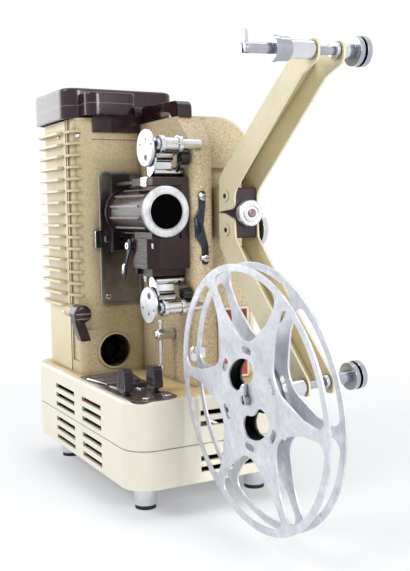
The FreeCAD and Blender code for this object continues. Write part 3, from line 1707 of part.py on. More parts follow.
def gate_tray():
    back = house_front
    front = back - tray_thickness
    plan = rectangle(tray_left, tray_right, tray_bottom, tray_top, tray_corner)
    inner = rectangle(
        tray_left + tray_rim, tray_right - tray_rim, tray_bottom + tray_rim, tray_top - tray_rim,
        tray_corner - tray_rim)
    plate = prism("XZ", plan, front, back)
    rim = prism("XZ", plan, back - tray_rim_height, back).cut(prism("XZ", inner, back - 10, back + 1))
    land = box(
        (lens_x - land_half_width, lens_x + land_half_width), (land_front, front + 0.5),
        (lens_z - land_half_height, lens_z + land_half_height))
    rods = [
        rod("XZ", (upper_rod_x, upper_rod_z), guide_rod_radius, holder_rear - rod_reach, front + 0.5),
        rod("XZ", (lower_rod_x, lower_rod_z), guide_rod_radius, holder_rear - rod_reach, front + 0.5),
    ]
    half_width_hole = aperture_width / 2
    half_height_hole = aperture_height / 2
    span = (land_front - 1, back + 1)
    cutters = [
        box(
            (lens_x - half_width_hole, lens_x + half_width_hole), span,
            (lens_z - half_height_hole, lens_z + half_height_hole)),
        box(
            (lens_x - claw_tooth_width, lens_x + claw_tooth_width), span,
            (claw_z - 1, claw_z + claw_height + claw_stroke + 1)),
    ]
    cutters += [rod("XZ", spot, screw_shank_radius, front - 1, back + 1) for spot in tray_screw_spots()]
    return remove(join([plate, rim, land] + rods), cutters)


def pressure_plate():
    back = land_front - film_gap
    front = back - pressure_thickness
    half_height = land_half_height - 2.0
    plate = box(
        (lens_x - land_half_width, lens_x + land_half_width), (front, back),
        (lens_z - half_height, lens_z + half_height))
    tube_front = sleeve_rear + sleeve_flange
    tube = rod("XZ", lens_axis, pressure_tube_radius, tube_front, front + 0.5)
    bore = rod("XZ", lens_axis, pressure_tube_radius - pressure_tube_wall, tube_front - 1, front)
    hole = box(
        (lens_x - aperture_width / 2, lens_x + aperture_width / 2), (front - 1, back + 1),
        (lens_z - aperture_height / 2, lens_z + aperture_height / 2))
    claw_slot = box(
        (lens_x - claw_tooth_width, lens_x + claw_tooth_width), (front - 1, back + 1),
        (claw_z - 1, claw_z + claw_height + claw_stroke + 1))
    tab_hole = rod("XZ", (upper_rod_x, upper_rod_z), guide_rod_radius + loose_gap, front - 20, back + 1)
    return remove(join([plate, tube]), [bore, hole, claw_slot, tab_hole])


def lens_holder():
    right = film_wall - loose_gap
    bevel_plan = [
        (holder_left + holder_bevel, holder_front),
        (right, holder_front),
        (right, holder_rear),
        (holder_left, holder_rear),
        (holder_left, holder_front + holder_bevel),
    ]
    block = prism("XY", bevel_plan, holder_bottom, holder_block_top)
    foot = box(
        (lens_x - 8.0, right), (holder_front + 8.0, holder_rear - 6.0),
        (holder_bottom - holder_foot, holder_bottom + 1))
    pillar = box(
        (holder_pillar_left, right), (holder_front, holder_rear),
        (holder_bottom + 1, holder_plate_top))
    plate = box(
        (holder_plate_left, right), (holder_front, holder_rear + 3.0),
        (holder_plate_bottom, holder_plate_top))
    cradle = prism("XZ", [
        (lens_x - 10.0, holder_block_top - 1.0), (right, holder_block_top - 1.0),
        (right, holder_block_top + 8.0), (
            lens_x - 10.0, holder_block_top + 5.0)], holder_front + 3.0, holder_rear)
    body = join([block, foot, pillar, plate, cradle])
    cutters = [rod("XZ", lens_axis, sleeve_radius, holder_front - 1, holder_rear + 10)]
    for centre in ((upper_rod_x, upper_rod_z), (lower_rod_x, lower_rod_z)):
        reach = holder_rear - rod_reach - carriage_travel - 1.0
        cutters.append(rod("XZ", centre, guide_rod_radius + running_gap, reach, holder_rear + 10))
    return remove(body, cutters)


def lens_sleeve():
    """Focusing sleeve: ribs over a neck, from the front collar to the rear flange."""
    collar_rear = sleeve_front + sleeve_collar
    neck_front = sleeve_rear - sleeve_neck
    panel_radius = sleeve_radius - sleeve_rib_depth
    body = turned("XZ", lens_axis, [
        (sleeve_front, collar_rear, sleeve_radius),
        (collar_rear - 1, neck_front, panel_radius),
        (neck_front - 1, sleeve_rear + 1, sleeve_radius - sleeve_neck_depth),
        (sleeve_rear, sleeve_rear + sleeve_flange, sleeve_flange_radius),
    ])
    ribs = []
    half = sleeve_rib_width / 2
    rib_foot = sleeve_radius - sleeve_neck_depth - loose_gap
    for index in range(sleeve_ribs):
        turn = 360.0 / sleeve_ribs * (index + 0.5)
        rib = box((-half, half), (collar_rear - 1, sleeve_rear + 1), (rib_foot, sleeve_radius))
        rib.rotate(FreeCAD.Vector(0, 0, 0), FreeCAD.Vector(0, 1, 0), turn)
        rib.translate(FreeCAD.Vector(lens_x, 0, lens_z))
        ribs.append(rib)
    rim = rod("XZ", lens_axis, sleeve_radius, sleeve_front, sleeve_rear + 1)
    ribs = [rib.common(rim) for rib in ribs]
    bore = rod(
        "XZ", lens_axis, sleeve_radius - sleeve_wall, sleeve_front - 1,
        sleeve_rear + sleeve_flange + 1)
    return join([body] + ribs).cut(bore)


def lens_barrel():
    outer = sleeve_radius - sleeve_wall - running_gap
    tube = rod("XZ", lens_axis, outer, ring_back - 0.5, barrel_rear)
    front = rod("XZ", lens_axis, ring_radius, ring_front, ring_back)
    rims = [edge for edge in front.Edges if edge.BoundBox.YLength < 0.01]
    front = front.makeFillet(0.8, rims)
    bore = rod("XZ", lens_axis, barrel_bore, ring_front - 1, barrel_rear + 1)
    return join([tube, front]).cut(bore)


def lens_glass(front):
    """A biconvex lens element that fills the barrel's bore."""
    curve = (barrel_bore ** 2 + glass_bulge ** 2) / (2 * glass_bulge)
    near_pole = front - glass_bulge
    far_pole = front + glass_thickness + glass_bulge
    disc = rod("XZ", lens_axis, barrel_bore, near_pole, far_pole)
    near = Part.makeSphere(curve, FreeCAD.Vector(lens_x, near_pole + curve, lens_z))
    far = Part.makeSphere(curve, FreeCAD.Vector(lens_x, far_pole - curve, lens_z))
    return disc.common(near).common(far)


def lens_glasses():
    return Part.makeCompound([lens_glass(glass_front), lens_glass(rear_glass)])


def claw():
    middle = (claw_front + claw_rear) / 2
    span = (claw_z, claw_z + claw_height)
    bar = box((lens_x - claw_tooth_width / 2, claw_rod_x), (claw_front + 0.1, claw_rear), span)
    half = claw_tooth_width / 2
    tooth = box(
        (lens_x - half, lens_x + half), (land_front - 1.6, claw_front + 0.5),
        (claw_z + 1, claw_z + claw_height - 1))
    block_half = claw_block / 2
    block = box((claw_rod_x - block_half, claw_rod_x + block_half), (claw_front - 2.0, claw_rear), span)
    bore = rod(
        "XY", (claw_rod_x, middle), claw_rod_radius - 0.4 + running_gap, claw_z - 1,
        claw_z + claw_height + 1)
    return join([bar, tooth, block]).cut(bore)


def shutter():
    centre = (shutter_x, lens_z)
    blades = []
    for index in range(shutter_blades):
        start = 360.0 / shutter_blades * index + 30.0
        sweep = 66.0
        sector = Part.makeCylinder(
            shutter_radius, shutter_thickness, FreeCAD.Vector(
                shutter_x, shutter_y, lens_z), FreeCAD.Vector(0, 1, 0), sweep)
        sector.rotate(FreeCAD.Vector(shutter_x, shutter_y, lens_z), FreeCAD.Vector(0, 1, 0), start)
        blades.append(sector)
    hub = rod("XZ", centre, 12.0, shutter_y, shutter_y + shutter_thickness + 4.0)
    shaft = rod("XZ", centre, shutter_shaft_radius, shutter_shaft_front, shutter_shaft_rear)
    gear = rod(
        "XZ", centre, cross_gear_radius, upright_y - cross_gear_length / 2,
        upright_y + cross_gear_length / 2)
    gear = remove(gear, gear_grooves("XZ", centre, cross_gear_radius, 0.5, 8, upright_y, cross_gear_length))
    pulley = grooved_pulley(centre, shutter_pulley_radius)
    return join(blades + [hub, shaft, gear, pulley])


def grooved_pulley(centre, radius):
    """Belt pulley between two thin cheeks."""
    sides = (belt_y - pulley_side - 1.0, belt_y - pulley_side)
    far = (belt_y + belt_width + pulley_side - 1.0, belt_y + belt_width + pulley_side - 0.2)
    return join([
        rod("XZ", centre, radius, sides[0], far[1]),
        rod("XZ", centre, radius + 2.0, sides[0], sides[1]),
    ])


def gear_grooves(plane, centre, radius, depth, count, middle, length):
    """Cutters of shallow tooth spaces round a small gear."""
    cutters = []
    for index in range(count):
        turn = 2 * math.pi / count * (index + 0.5)
        spot = (centre[0] + radius * math.cos(turn), centre[1] + radius * math.sin(turn))
        cutters.append(rod(plane, spot, depth, middle - length, middle + length))
    return cutters


def drive_shaft():
    centre = (upright_x, upright_y)
    shaft = rod("XY", centre, upright_radius, upright_low, upright_high)
    pieces = [shaft]
    for z in (upper_sprocket_z, lower_sprocket_z):
        low = z - worm_length / 2
        worm = rod("XY", centre, worm_radius, low, low + worm_length)
        pieces.append(worm)
    gear = rod(
        "XY", centre, cross_gear_radius, lens_z - cross_gear_length / 2,
        lens_z + cross_gear_length / 2)
    pieces.append(
        remove(gear, gear_grooves("XY", centre, cross_gear_radius, 0.5, 8, lens_z, cross_gear_length)))
    collar = rod(
        "XY", centre, upright_radius + 1.5, low_bearing + bearing_height + 0.1,
        low_bearing + bearing_height + 3)
    return join(pieces + [collar])


def sprocket(z):
    """Film sprocket: bright disc, toothed drum, shaft and worm wheel."""
    centre = (sprocket_y, z)
    disc = rod("YZ", centre, disc_radius, disc_left, disc_right)
    rims = [edge for edge in disc.Edges if edge.BoundBox.XLength < 0.01]
    disc = disc.makeFillet(0.9, rims)
    drum = rod("YZ", centre, drum_radius, disc_right - 0.5, drum_right)
    teeth = []
    for index in range(tooth_count):
        turn = 360.0 / tooth_count * index
        for x in (disc_right + 3.0, drum_right - 3.0):
            half = tooth_width / 2
            tooth = box((x - half, x + half), (-half, half), (drum_radius - 1, drum_radius + tooth_height))
            tooth.rotate(FreeCAD.Vector(0, 0, 0), FreeCAD.Vector(1, 0, 0), turn)
            tooth.translate(FreeCAD.Vector(0, sprocket_y, z))
            teeth.append(tooth)
    hub = rod("YZ", centre, sprocket_hub_radius, drum_right - 1, film_wall - loose_gap)
    shaft = rod("YZ", centre, sprocket_shaft_radius, film_wall - 2, worm_wheel_left + worm_wheel_width)
    wheel = rod("YZ", centre, worm_wheel_radius, worm_wheel_left, worm_wheel_left + worm_wheel_width)
    middle = worm_wheel_left + worm_wheel_width / 2
    wheel = remove(
        wheel,
        gear_grooves("YZ", centre, worm_wheel_radius, 0.8, worm_wheel_teeth, middle, worm_wheel_width))
    return join([disc, drum, hub, shaft, wheel] + teeth)


def upper_sprocket():
    return sprocket(upper_sprocket_z)


def lower_sprocket():
    return sprocket(lower_sprocket_z)


def film_shoe(z, side):
    """Film shoe that hugs a sprocket; side is -1 below it and 1 above it."""
    plate_left_face = disc_right + loose_gap
    plate_right_face = plate_left_face + shoe_plate
    pivot = (shoe_pivot_y, z + side * shoe_pivot_offset)
    start = math.radians(shoe_start)
    end = math.radians(shoe_end)

    def spot(radius, angle):
        return (sprocket_y + radius * math.cos(angle), z - side * radius * math.sin(angle))

    middle = (start + end) / 2
    low = plate_right_face - 0.5
    high = drum_right - 1.0
    edges = [
        Part.Arc(point("YZ", *spot(shoe_inner, start), low), point("YZ", *spot(shoe_inner, middle), low),
                 point("YZ", *spot(shoe_inner, end), low)).toShape(),
        Part.makeLine(point("YZ", *spot(shoe_inner, end), low), point("YZ", *spot(shoe_outer, end), low)),
        Part.Arc(point("YZ", *spot(shoe_outer, end), low), point("YZ", *spot(shoe_outer, middle), low),
                 point("YZ", *spot(shoe_outer, start), low)).toShape(),
        Part.makeLine(point("YZ", *spot(shoe_outer, start), low), point("YZ", *spot(shoe_inner, start), low)),
    ]
    band = Part.Face(Part.Wire(edges)).extrude(FreeCAD.Vector(high - low, 0, 0))
    reach = side * shoe_tab_reach
    tab = [
        (sprocket_y - 10.5, z + side * 4.5, 1.0),
        (sprocket_y - 12.5, z + side * 9.0, 2.0),
        (sprocket_y - 7.5, z + reach + side * 5.0, 4.0),
        (sprocket_y + 2.0, z + reach + side * 7.5, 4.0),
        (sprocket_y + 3.0, z + reach, 2.0),
        (sprocket_y + 2.0, z + side * 10.2, 1.0),
        (sprocket_y - 6.5, z + side * 8.2, 3.0),
    ]
    plate = prism("YZ", tab, plate_left_face, plate_right_face)
    hub = rod("YZ", pivot, shoe_hub_radius, plate_left_face, film_wall - loose_gap)
    link = [
        (sprocket_y - 6.0, z + side * 11.0),
        (sprocket_y + 0.3, z + side * 11.6),
        (pivot[0] + 2.5, pivot[1]),
        (pivot[0] - 2.5, pivot[1]),
    ]
    web = prism("YZ", link, plate_left_face, high)
    knob_z = z + side * shoe_knob_drop
    knob = rod("YZ", (shoe_knob_y, knob_z), shoe_knob_radius, shoe_knob_left, shoe_knob_right)
    arm = prism("YZ", [
        (shoe_knob_y - 1.5, knob_z + side * 1.0), (shoe_knob_y + 2.5, knob_z - side * 1.0),
        (pivot[0] + 1.0, pivot[1] - side * 2.0), (pivot[0] - 2.0, pivot[1] + side * 2.0)],
        shoe_knob_left, shoe_knob_left + 2.5)
    bore = rod("YZ", pivot, shoe_pin_radius + running_gap, plate_left_face - 1, film_wall)
    return join([band, plate, hub, web, knob, arm]).cut(bore)


def upper_shoe():
    return film_shoe(upper_sprocket_z, -1)


def lower_shoe():
    return film_shoe(lower_sprocket_z, 1)


def guide_roller(z):
    """Waisted roller that turns on its stud."""
    centre = (roller_y, z)
    body = turned("YZ", centre, [
        (roller_left, roller_left + roller_flange, roller_radius),
        (roller_left, roller_right, roller_waist),
        (roller_right - roller_flange, roller_right, roller_radius),
    ])
    return body.cut(rod("YZ", centre, stud_radius + running_gap, roller_left - 1, roller_right + 1))


def upper_guide_roller():
    return guide_roller(upper_roller_z)


def lower_guide_roller():
    return guide_roller(lower_roller_z)


def film_posts():
    """Studs of the rollers, pins of the shoes and the post of the framing rod."""
    shapes = []
    for centre in stud_centres():
        shapes.append(turned("YZ", centre, [
            (roller_left - 0.2 - stud_cap, roller_left - 0.2, stud_base_radius),
            (roller_left - 1.0, roller_right + 1.0, stud_radius),
            (roller_right + 0.2, film_wall_inner + 5, stud_base_radius),
        ]))
    for centre in shoe_pin_centres():
        shapes.append(rod("YZ", centre, shoe_pin_radius, disc_right + loose_gap, film_wall_inner))
    shapes.append(framing_post())
    return Part.makeCompound(shapes)


def framing_post():
    centre = (post_y, post_z)
    body = turned("YZ", centre, [
        (post_left, film_wall, post_radius),
        (film_wall - 1, film_wall_inner, post_radius - 1.6),
    ])
    rims = [edge for edge in body.Edges if edge.BoundBox.XMax < post_left + 0.01]
    body = body.makeFillet(0.8, rims)
    hole = rod("XY", (rod_x, post_y), framing_rod_radius + running_gap, post_z - 10, post_z + 10)
    return body.cut(hole)


def framing_rod():
    centre = (rod_x, post_y)
    return turned("XY", centre, [
        (framing_rod_low, framing_rod_high, framing_rod_radius),
        (framing_rod_low + 1.5, framing_rod_low + 1.5 + framing_nut_height, framing_nut_radius),
        (framing_rod_high - 2.5, framing_rod_high, framing_rod_radius + 0.8),
    ])


def motor():
    centre = (motor_x, motor_z)
    case = rod("XZ", centre, motor_radius, motor_front, motor_rear)
    rims = [edge for edge in case.Edges if edge.BoundBox.YLength < 0.01]
    case = case.makeFillet(3.0, rims)
    cradle = box((motor_x - 12, motor_x + 12), (motor_front + 8, motor_rear - 8), (deck_top, motor_z - 8))
    bore = rod("XZ", centre, motor_shaft_radius + running_gap, motor_front - 1, motor_rear + 1)
    return join([case, cradle]).cut(bore)


def fan():
    centre = (motor_x, motor_z)
    hub = rod("XZ", centre, 5.0, fan_front, fan_front + fan_depth)
    back = rod("XZ", centre, fan_radius, fan_front + fan_depth - 1.2, fan_front + fan_depth)
    blades = []
    for index in range(fan_blades):
        blade = box((-0.5, 0.5), (fan_front, fan_front + fan_depth - 1.0), (4.0, fan_radius - 0.4))
        blade.rotate(FreeCAD.Vector(0, 0, 0), FreeCAD.Vector(0, 1, 0), 360.0 / fan_blades * index)
        blade.translate(FreeCAD.Vector(motor_x, 0, motor_z))
        blades.append(blade)
    shaft = rod("XZ", centre, motor_shaft_radius, fan_front + 1, belt_y + belt_width + pulley_side - 0.2)
    pulley = grooved_pulley(centre, motor_pulley_radius)
    return join([hub, back, shaft, pulley] + blades)


def belt_loop(extra):
    """Outline of a belt round both pulleys, as a hull of two circles."""
    small = (motor_x, motor_z)
    large = (shutter_x, lens_z)
    small_radius = motor_pulley_radius + extra
    large_radius = shutter_pulley_radius + extra
    run_x = large[0] - small[0]
    run_z = large[1] - small[1]
    distance = math.hypot(run_x, run_z)
    heading = math.atan2(run_z, run_x)
    lean = math.asin((large_radius - small_radius) / distance)

    def tangent(centre, radius, side):
        angle = heading + side * (math.pi / 2 + lean)
        return point("XZ", centre[0] + radius * math.cos(angle), centre[1] + radius * math.sin(angle), belt_y)

    def far_end(centre, radius, sense):
        spot = (
            centre[0] + sense * radius * math.cos(heading),
            centre[1] + sense * radius * math.sin(heading))
        return point("XZ", spot[0], spot[1], belt_y)

    edges = [
        Part.makeLine(tangent(small, small_radius, 1), tangent(large, large_radius, 1)),
        Part.Arc(
            tangent(large, large_radius, 1), far_end(large, large_radius, 1),
            tangent(large, large_radius, -1)).toShape(),
        Part.makeLine(tangent(large, large_radius, -1), tangent(small, small_radius, -1)),
        Part.Arc(
            tangent(small, small_radius, -1), far_end(small, small_radius, -1),
            tangent(small, small_radius, 1)).toShape(),
    ]
    return Part.Face(Part.Wire(edges)).extrude(FreeCAD.Vector(0, belt_width, 0))


def drive_belt():
    return belt_loop(loose_gap + belt_thickness).cut(belt_loop(loose_gap))


def lamp():
    centre = (lens_x, lamp_y)
    bulb = rod("XY", centre, lamp_radius, lamp_bottom + 14, lamp_top)
    rim = [edge for edge in bulb.Edges if edge.BoundBox.ZMin > lamp_top - 0.01]
    bulb = bulb.makeFillet(lamp_crown, rim)
    cap = rod("XY", centre, lamp_radius - 2.5, lamp_bottom - socket_depth + 1.0, lamp_bottom + 15)
    return join([bulb, cap])


def lamp_socket():
    centre = (lens_x, lamp_y)
    cup = rod("XY", centre, socket_radius, socket_bottom, lamp_bottom)
    pocket = rod("XY", centre, lamp_radius - 2.5, lamp_bottom - socket_depth + 1.0, lamp_bottom + 1)
    foot = box((lens_x, film_wall), (lamp_y - 8, lamp_y + 8), (socket_bottom, socket_bottom + 8))
    return join([cup, foot]).cut(pocket)


def condenser():
    rear = condenser_y + condenser_thickness
    curve = (condenser_radius ** 2 + condenser_bulge ** 2) / (2 * condenser_bulge)
    disc = rod("XZ", lens_axis, condenser_radius, condenser_y + 1.0, rear + condenser_bulge)
    ball = Part.makeSphere(curve, FreeCAD.Vector(lens_x, rear + condenser_bulge - curve, lens_z))
    return disc.common(ball)


def screw(plane, spot, surface, sense):
    """Slotted screw whose head sits on the surface; sense is the way its shank points."""
    head_low, head_high = sorted((surface, surface - sense * screw_head_height))
    shank_low, shank_high = sorted((surface - sense * 0.5, surface + sense * screw_length))
    head = rod(plane, spot, screw_head_radius, head_low, head_high)
    outside = [edge for edge in head.Edges if head_edge(edge, plane, surface, sense)]
    head = head.makeFillet(0.7, outside)
    shank = rod(plane, spot, screw_shank_radius, shank_low, shank_high)
    face = surface - sense * screw_head_height
    low, high = sorted((face - sense * 1.0, face + sense * screw_slot_depth))
    half = screw_slot_width / 2
    slot = prism(plane, rectangle(spot[0] - 4, spot[0] + 4, spot[1] - half, spot[1] + half), low, high)
    return join([head, shank]).cut(slot)


def head_edge(edge, plane, surface, sense):
    """Whether an edge is the outer rim of a screw's head."""
    centre = edge.BoundBox.Center
    height = {"XY": centre.z, "XZ": centre.y, "YZ": centre.x}[plane]
    flat = {"XY": edge.BoundBox.ZLength, "XZ": edge.BoundBox.YLength, "YZ": edge.BoundBox.XLength}[plane]
    return abs(height - (surface - sense * screw_head_height)) < 0.01 and flat < 0.01


def case_screws():
    screws = []
    for spot in strap_screw_spots():
        screws.append(screw("XZ", spot, nose_front - strap_thickness, 1))
    for spot in tray_screw_spots():
        screws.append(screw("XZ", spot, house_front - tray_thickness, 1))
    for spot in plate_screw_spots():
        screws.append(screw("XY", spot, plate_top, -1))
    return Part.makeCompound(screws)


makers = [
    base_lower_shell, base_upper_shell, feet, foot_pads, transformer_core, transformer_coil, mains_inlet,
    control_plate, lamp_switch_lever, motor_switch_lever, speed_dial,
    mechanism_casting, mechanism_cover, front_plate, lens_strap, arm_block, arm_pivots, clamp_knob,
    upper_arm, upper_bushes, upper_spindle, upper_pulley, upper_latch,
    lower_arm, lower_bushes, lower_spindle, lower_pulley, lower_latch,
    reel_near_flange, reel_far_flange,
    lamp_house_shell, lamp_house_plinth, lamp_house_door, door_latch, lamp_cap, carrying_handle,
    gate_tray, pressure_plate, lens_holder, lens_sleeve, lens_barrel, lens_glasses,
    lamp, lamp_socket, condenser,
    upper_sprocket, lower_sprocket, upper_shoe, lower_shoe, upper_guide_roller, lower_guide_roller,
    film_posts, framing_rod, motor, fan, shutter, drive_shaft, claw, drive_belt, case_screws,
]

for maker in makers:
    shape = maker()
    shape.translate(FreeCAD.Vector(0, -origin_y, 0))
    solids = len(shape.Solids)
    print(maker.__name__, "solids", solids, "valid", shape.isValid(), "volume", round(shape.Volume))
    shape.exportStep("parts/" + maker.__name__ + ".step")
print(len(makers), "nodes, origin at y", round(origin_y, 3))
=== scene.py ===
import math

import bmesh
import bpy
from mathutils import Matrix, Vector


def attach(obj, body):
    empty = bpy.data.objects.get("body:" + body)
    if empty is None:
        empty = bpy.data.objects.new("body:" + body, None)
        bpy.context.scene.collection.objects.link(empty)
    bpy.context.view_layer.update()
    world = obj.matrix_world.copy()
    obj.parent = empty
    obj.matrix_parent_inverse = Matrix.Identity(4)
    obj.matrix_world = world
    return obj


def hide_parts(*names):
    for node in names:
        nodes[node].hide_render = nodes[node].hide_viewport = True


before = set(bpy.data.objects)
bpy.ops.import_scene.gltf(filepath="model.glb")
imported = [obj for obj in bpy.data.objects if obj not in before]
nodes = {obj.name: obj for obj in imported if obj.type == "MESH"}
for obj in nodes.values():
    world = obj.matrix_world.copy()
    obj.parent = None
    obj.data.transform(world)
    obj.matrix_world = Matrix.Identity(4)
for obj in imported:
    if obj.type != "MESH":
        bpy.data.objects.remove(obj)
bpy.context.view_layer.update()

# The part's source counts from the middle of the base; the row frame is further along Y.
MM = 0.001
BASE_MIDDLE_Y = 89.85

# Camera, fitted to the photograph: its place in the source's millimetres and its turns in degrees
CAMERA_SPOT = (-314.26, -678.89, 229.06)
CAMERA_YAW = -28.314
CAMERA_PITCH = 5.094
CAMERA_ROLL = -0.918
CAMERA_LENS = 54.26
CAMERA_SENSOR = 36.0

AXES = {"X": Vector((1, 0, 0)), "Y": Vector((0, 1, 0)), "Z": Vector((0, 0, 1))}
LAID = {"X": (0, math.radians(90), 0), "Y": (math.radians(-90), 0, 0), "Z": (0, 0, 0)}
MERGE = 0.000001
SHARP = math.radians(30)
SMOOTH = math.radians(35)


def place(x, y, z):
    """A point given in the source's millimetres, in the row frame in metres."""
    return Vector((x * MM, (y + BASE_MIDDLE_Y) * MM, z * MM))


def colour(code):
    """Linear colour from a screen colour code."""
    parts = [int(code[i:i + 2], 16) / 255 for i in (1, 3, 5)]
    linear = [p / 12.92 if p <= 0.04045 else ((p + 0.055) / 1.055) ** 2.4 for p in parts]
    return (*linear, 1.0)


# Axes that several pieces and their finishes share, in metres
LENS_AXIS = tuple(place(-26.0, 0, 227.4))
REEL_SPOT = Vector((0.02425, -0.11735, 0.1095))
REEL_AXIS = Vector((0.996779, 0.0, 0.080199))
REEL_MIDDLE = REEL_SPOT - REEL_AXIS * 0.0482
ROUND_X = (0.0, 1.0, 1.0)
ROUND_Y = (1.0, 0.0, 1.0)
ROUND_Z = (1.0, 1.0, 0.0)


# Modelling helpers: sizes in millimetres, as in the source

def nothing_selected():
    """Object mode with nothing selected."""
    if bpy.context.mode != "OBJECT":
        bpy.ops.object.mode_set(mode="OBJECT")
    bpy.ops.object.select_all(action="DESELECT")


def start_shaping():
    """The new primitive's place goes into its mesh, and its faces are ready to be shaped."""
    bpy.ops.object.transform_apply(location=True, rotation=True, scale=True)
    bpy.ops.object.mode_set(mode="EDIT")
    bpy.context.tool_settings.mesh_select_mode = (False, False, True)


def open_whole(piece):
    """Edit mode on one piece, with all of its mesh selected."""
    nothing_selected()
    piece.select_set(True)
    bpy.context.view_layer.objects.active = piece
    bpy.ops.object.mode_set(mode="EDIT")
    bpy.ops.mesh.select_all(action="SELECT")


def pick_faces(wanted):
    """Selects the faces whose normal the test accepts."""
    mesh = bmesh.from_edit_mesh(bpy.context.object.data)
    mesh.normal_update()
    for face in mesh.faces:
        face.select_set(False)
    mesh.select_flush(False)
    for face in mesh.faces:
        if wanted(face.normal):
            face.select_set(True)
    mesh.select_flush_mode()
    bmesh.update_edit_mesh(bpy.context.object.data)


def facing(axis):
    """Test for faces that look along an axis; a minus sign turns it round."""
    way = AXES[axis[-1]] * (-1 if axis[0] == "-" else 1)
    return lambda normal: normal.dot(way) > 0.9


def pull(way, distance):
    """Extrudes the selected faces along an axis."""
    bpy.ops.mesh.extrude_region_move(TRANSFORM_OT_translate={"value": AXES[way] * (distance * MM)})


def swell(factors, about):
    """Resizes the selected faces about a point."""
    bpy.ops.transform.resize(value=factors, center_override=about)


def done(name, looks, body, bevel):
    """Closes a shape: outward faces, softened edges, its material and the body it rides on."""
    bpy.ops.mesh.select_all(action="SELECT")
    bpy.ops.mesh.remove_doubles(threshold=MERGE)
    bpy.ops.mesh.normals_make_consistent(inside=False)
    bpy.ops.object.mode_set(mode="OBJECT")
    piece = bpy.context.object
    piece.name = name
    if bevel:
        softened = piece.modifiers.new("softened", "BEVEL")
        softened.width = bevel * MM
        softened.segments = 2
        softened.limit_method = "ANGLE"
        softened.angle_limit = SHARP
        bpy.ops.object.modifier_apply(modifier=softened.name)
    bpy.ops.object.shade_smooth_by_angle(angle=SMOOTH)
    piece.data.materials.clear()
    piece.data.materials.append(looks)
    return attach(piece, body)


def turned(name, centre, axis, steps, looks, body, sides=32, bevel=0.0):
    """A turned piece: a disc pulled along its axis and resized at each step of distance and radius."""
    nothing_selected()
    way = AXES[axis]
    spot = place(*centre)
    distance, radius = steps[0]
    bpy.ops.mesh.primitive_circle_add(
        vertices=sides, radius=radius * MM, fill_type="NGON",
        location=spot + way * (distance * MM), rotation=LAID[axis])
    start_shaping()
    bpy.ops.mesh.select_all(action="SELECT")
    for next_distance, next_radius in steps[1:]:
        pull(axis, next_distance - distance)
        swell((next_radius / radius,) * 3, spot + way * (next_distance * MM))
        distance, radius = next_distance, next_radius
    return done(name, looks, body, bevel)


def bar(name, axis, sections, looks, body, bevel=0.3):
    """A bar along an axis through rectangles, each given as distance along it, centre and size across it."""
    nothing_selected()
    way = "XYZ".index(axis)
    across = [i for i in range(3) if i != way]

    def middle(section):
        spot = [0.0, 0.0, 0.0]
        spot[way] = section[0]
        spot[across[0]], spot[across[1]] = section[1]
        return place(*spot)

    first, second = sections[:2]
    size = [0.0, 0.0, 0.0]
    size[across[0]], size[across[1]] = (value * MM for value in first[2])
    size[way] = abs(second[0] - first[0]) * MM
    start = middle(first)
    start[way] = (middle(first)[way] + middle(second)[way]) / 2
    bpy.ops.mesh.primitive_cube_add(size=1.0, location=start)
    bpy.context.object.scale = size
    start_shaping()
    pick_faces(facing(axis if second[0] > first[0] else "-" + axis))
    held = (first[2], middle(first))
    for index, section in enumerate(sections[1:]):
        target = middle(section)
        if index:
            bpy.ops.mesh.extrude_region_move(TRANSFORM_OT_translate={"value": target - held[1]})
        else:
            shift = target - held[1]
            shift[way] = 0.0
            bpy.ops.transform.translate(value=shift)
        factors = [1.0, 1.0, 1.0]
        factors[across[0]] = section[2][0] / held[0][0]
        factors[across[1]] = section[2][1] / held[0][1]
        swell(factors, target)
        held = (section[2], target)
    return done(name, looks, body, bevel)


def slab(name, low, high, looks, body, bevel=0.4, sunk=None):
    """A block between two corners; one side may have a sunk panel given as axis, border and depth."""
    nothing_selected()
    corners = (place(*low), place(*high))
    bpy.ops.mesh.primitive_cube_add(size=1.0, location=(corners[0] + corners[1]) / 2)
    bpy.context.object.scale = corners[1] - corners[0]
    start_shaping()
    if sunk:
        axis, border, depth = sunk
        pick_faces(facing(axis))
        bpy.ops.mesh.inset(thickness=border * MM)
        pull(axis[-1], -depth if axis[0] != "-" else depth)
    return done(name, looks, body, bevel)


def twin(piece, name):
    """A copy with its own mesh."""
    nothing_selected()
    copy = piece.copy()
    copy.data = piece.data.copy()
    bpy.context.scene.collection.objects.link(copy)
    copy.name = name
    return copy


def turn_about(piece, spot, degrees):
    """Turns a piece about an upright line; the operator counts the other way with no window open."""
    open_whole(piece)
    bpy.ops.transform.rotate(value=math.radians(degrees), orient_axis="Z", center_override=place(*spot))
    bpy.ops.object.mode_set(mode="OBJECT")


# Shader helpers

def feed(tree, socket, value):
    """Links a node's output to a socket, or sets a constant on it."""
    if isinstance(value, bpy.types.NodeSocket):
        tree.links.new(value, socket)
    else:
        socket.default_value = value


def node(tree, kind, inputs=(), **settings):
    """A shader node with its settings and linked or constant inputs."""
    made = tree.nodes.new(kind)
    for key, value in settings.items():
        setattr(made, key, value)
    for key, value in dict(inputs).items():
        feed(tree, made.inputs[key], value)
    return made


def group(name, inputs, outputs):
    """An empty node group with its sockets, and its input and output nodes."""
    tree = bpy.data.node_groups.new(name, "ShaderNodeTree")
    for label, kind, value in inputs:
        socket = tree.interface.new_socket(name=label, in_out="INPUT", socket_type=kind)
        socket.default_value = value
    for label, kind in outputs:
        tree.interface.new_socket(name=label, in_out="OUTPUT", socket_type=kind)
    return tree, tree.nodes.new("NodeGroupInput").outputs, tree.nodes.new("NodeGroupOutput").inputs


def use(tree, effect, **inputs):
    """Outputs of a node group placed in a material; an underscore in a name stands for a space."""
    made = tree.nodes.new("ShaderNodeGroup")
    made.node_tree = effect
    for key, value in inputs.items():
        feed(tree, made.inputs[key.replace("_", " ")], value)
    return made.outputs


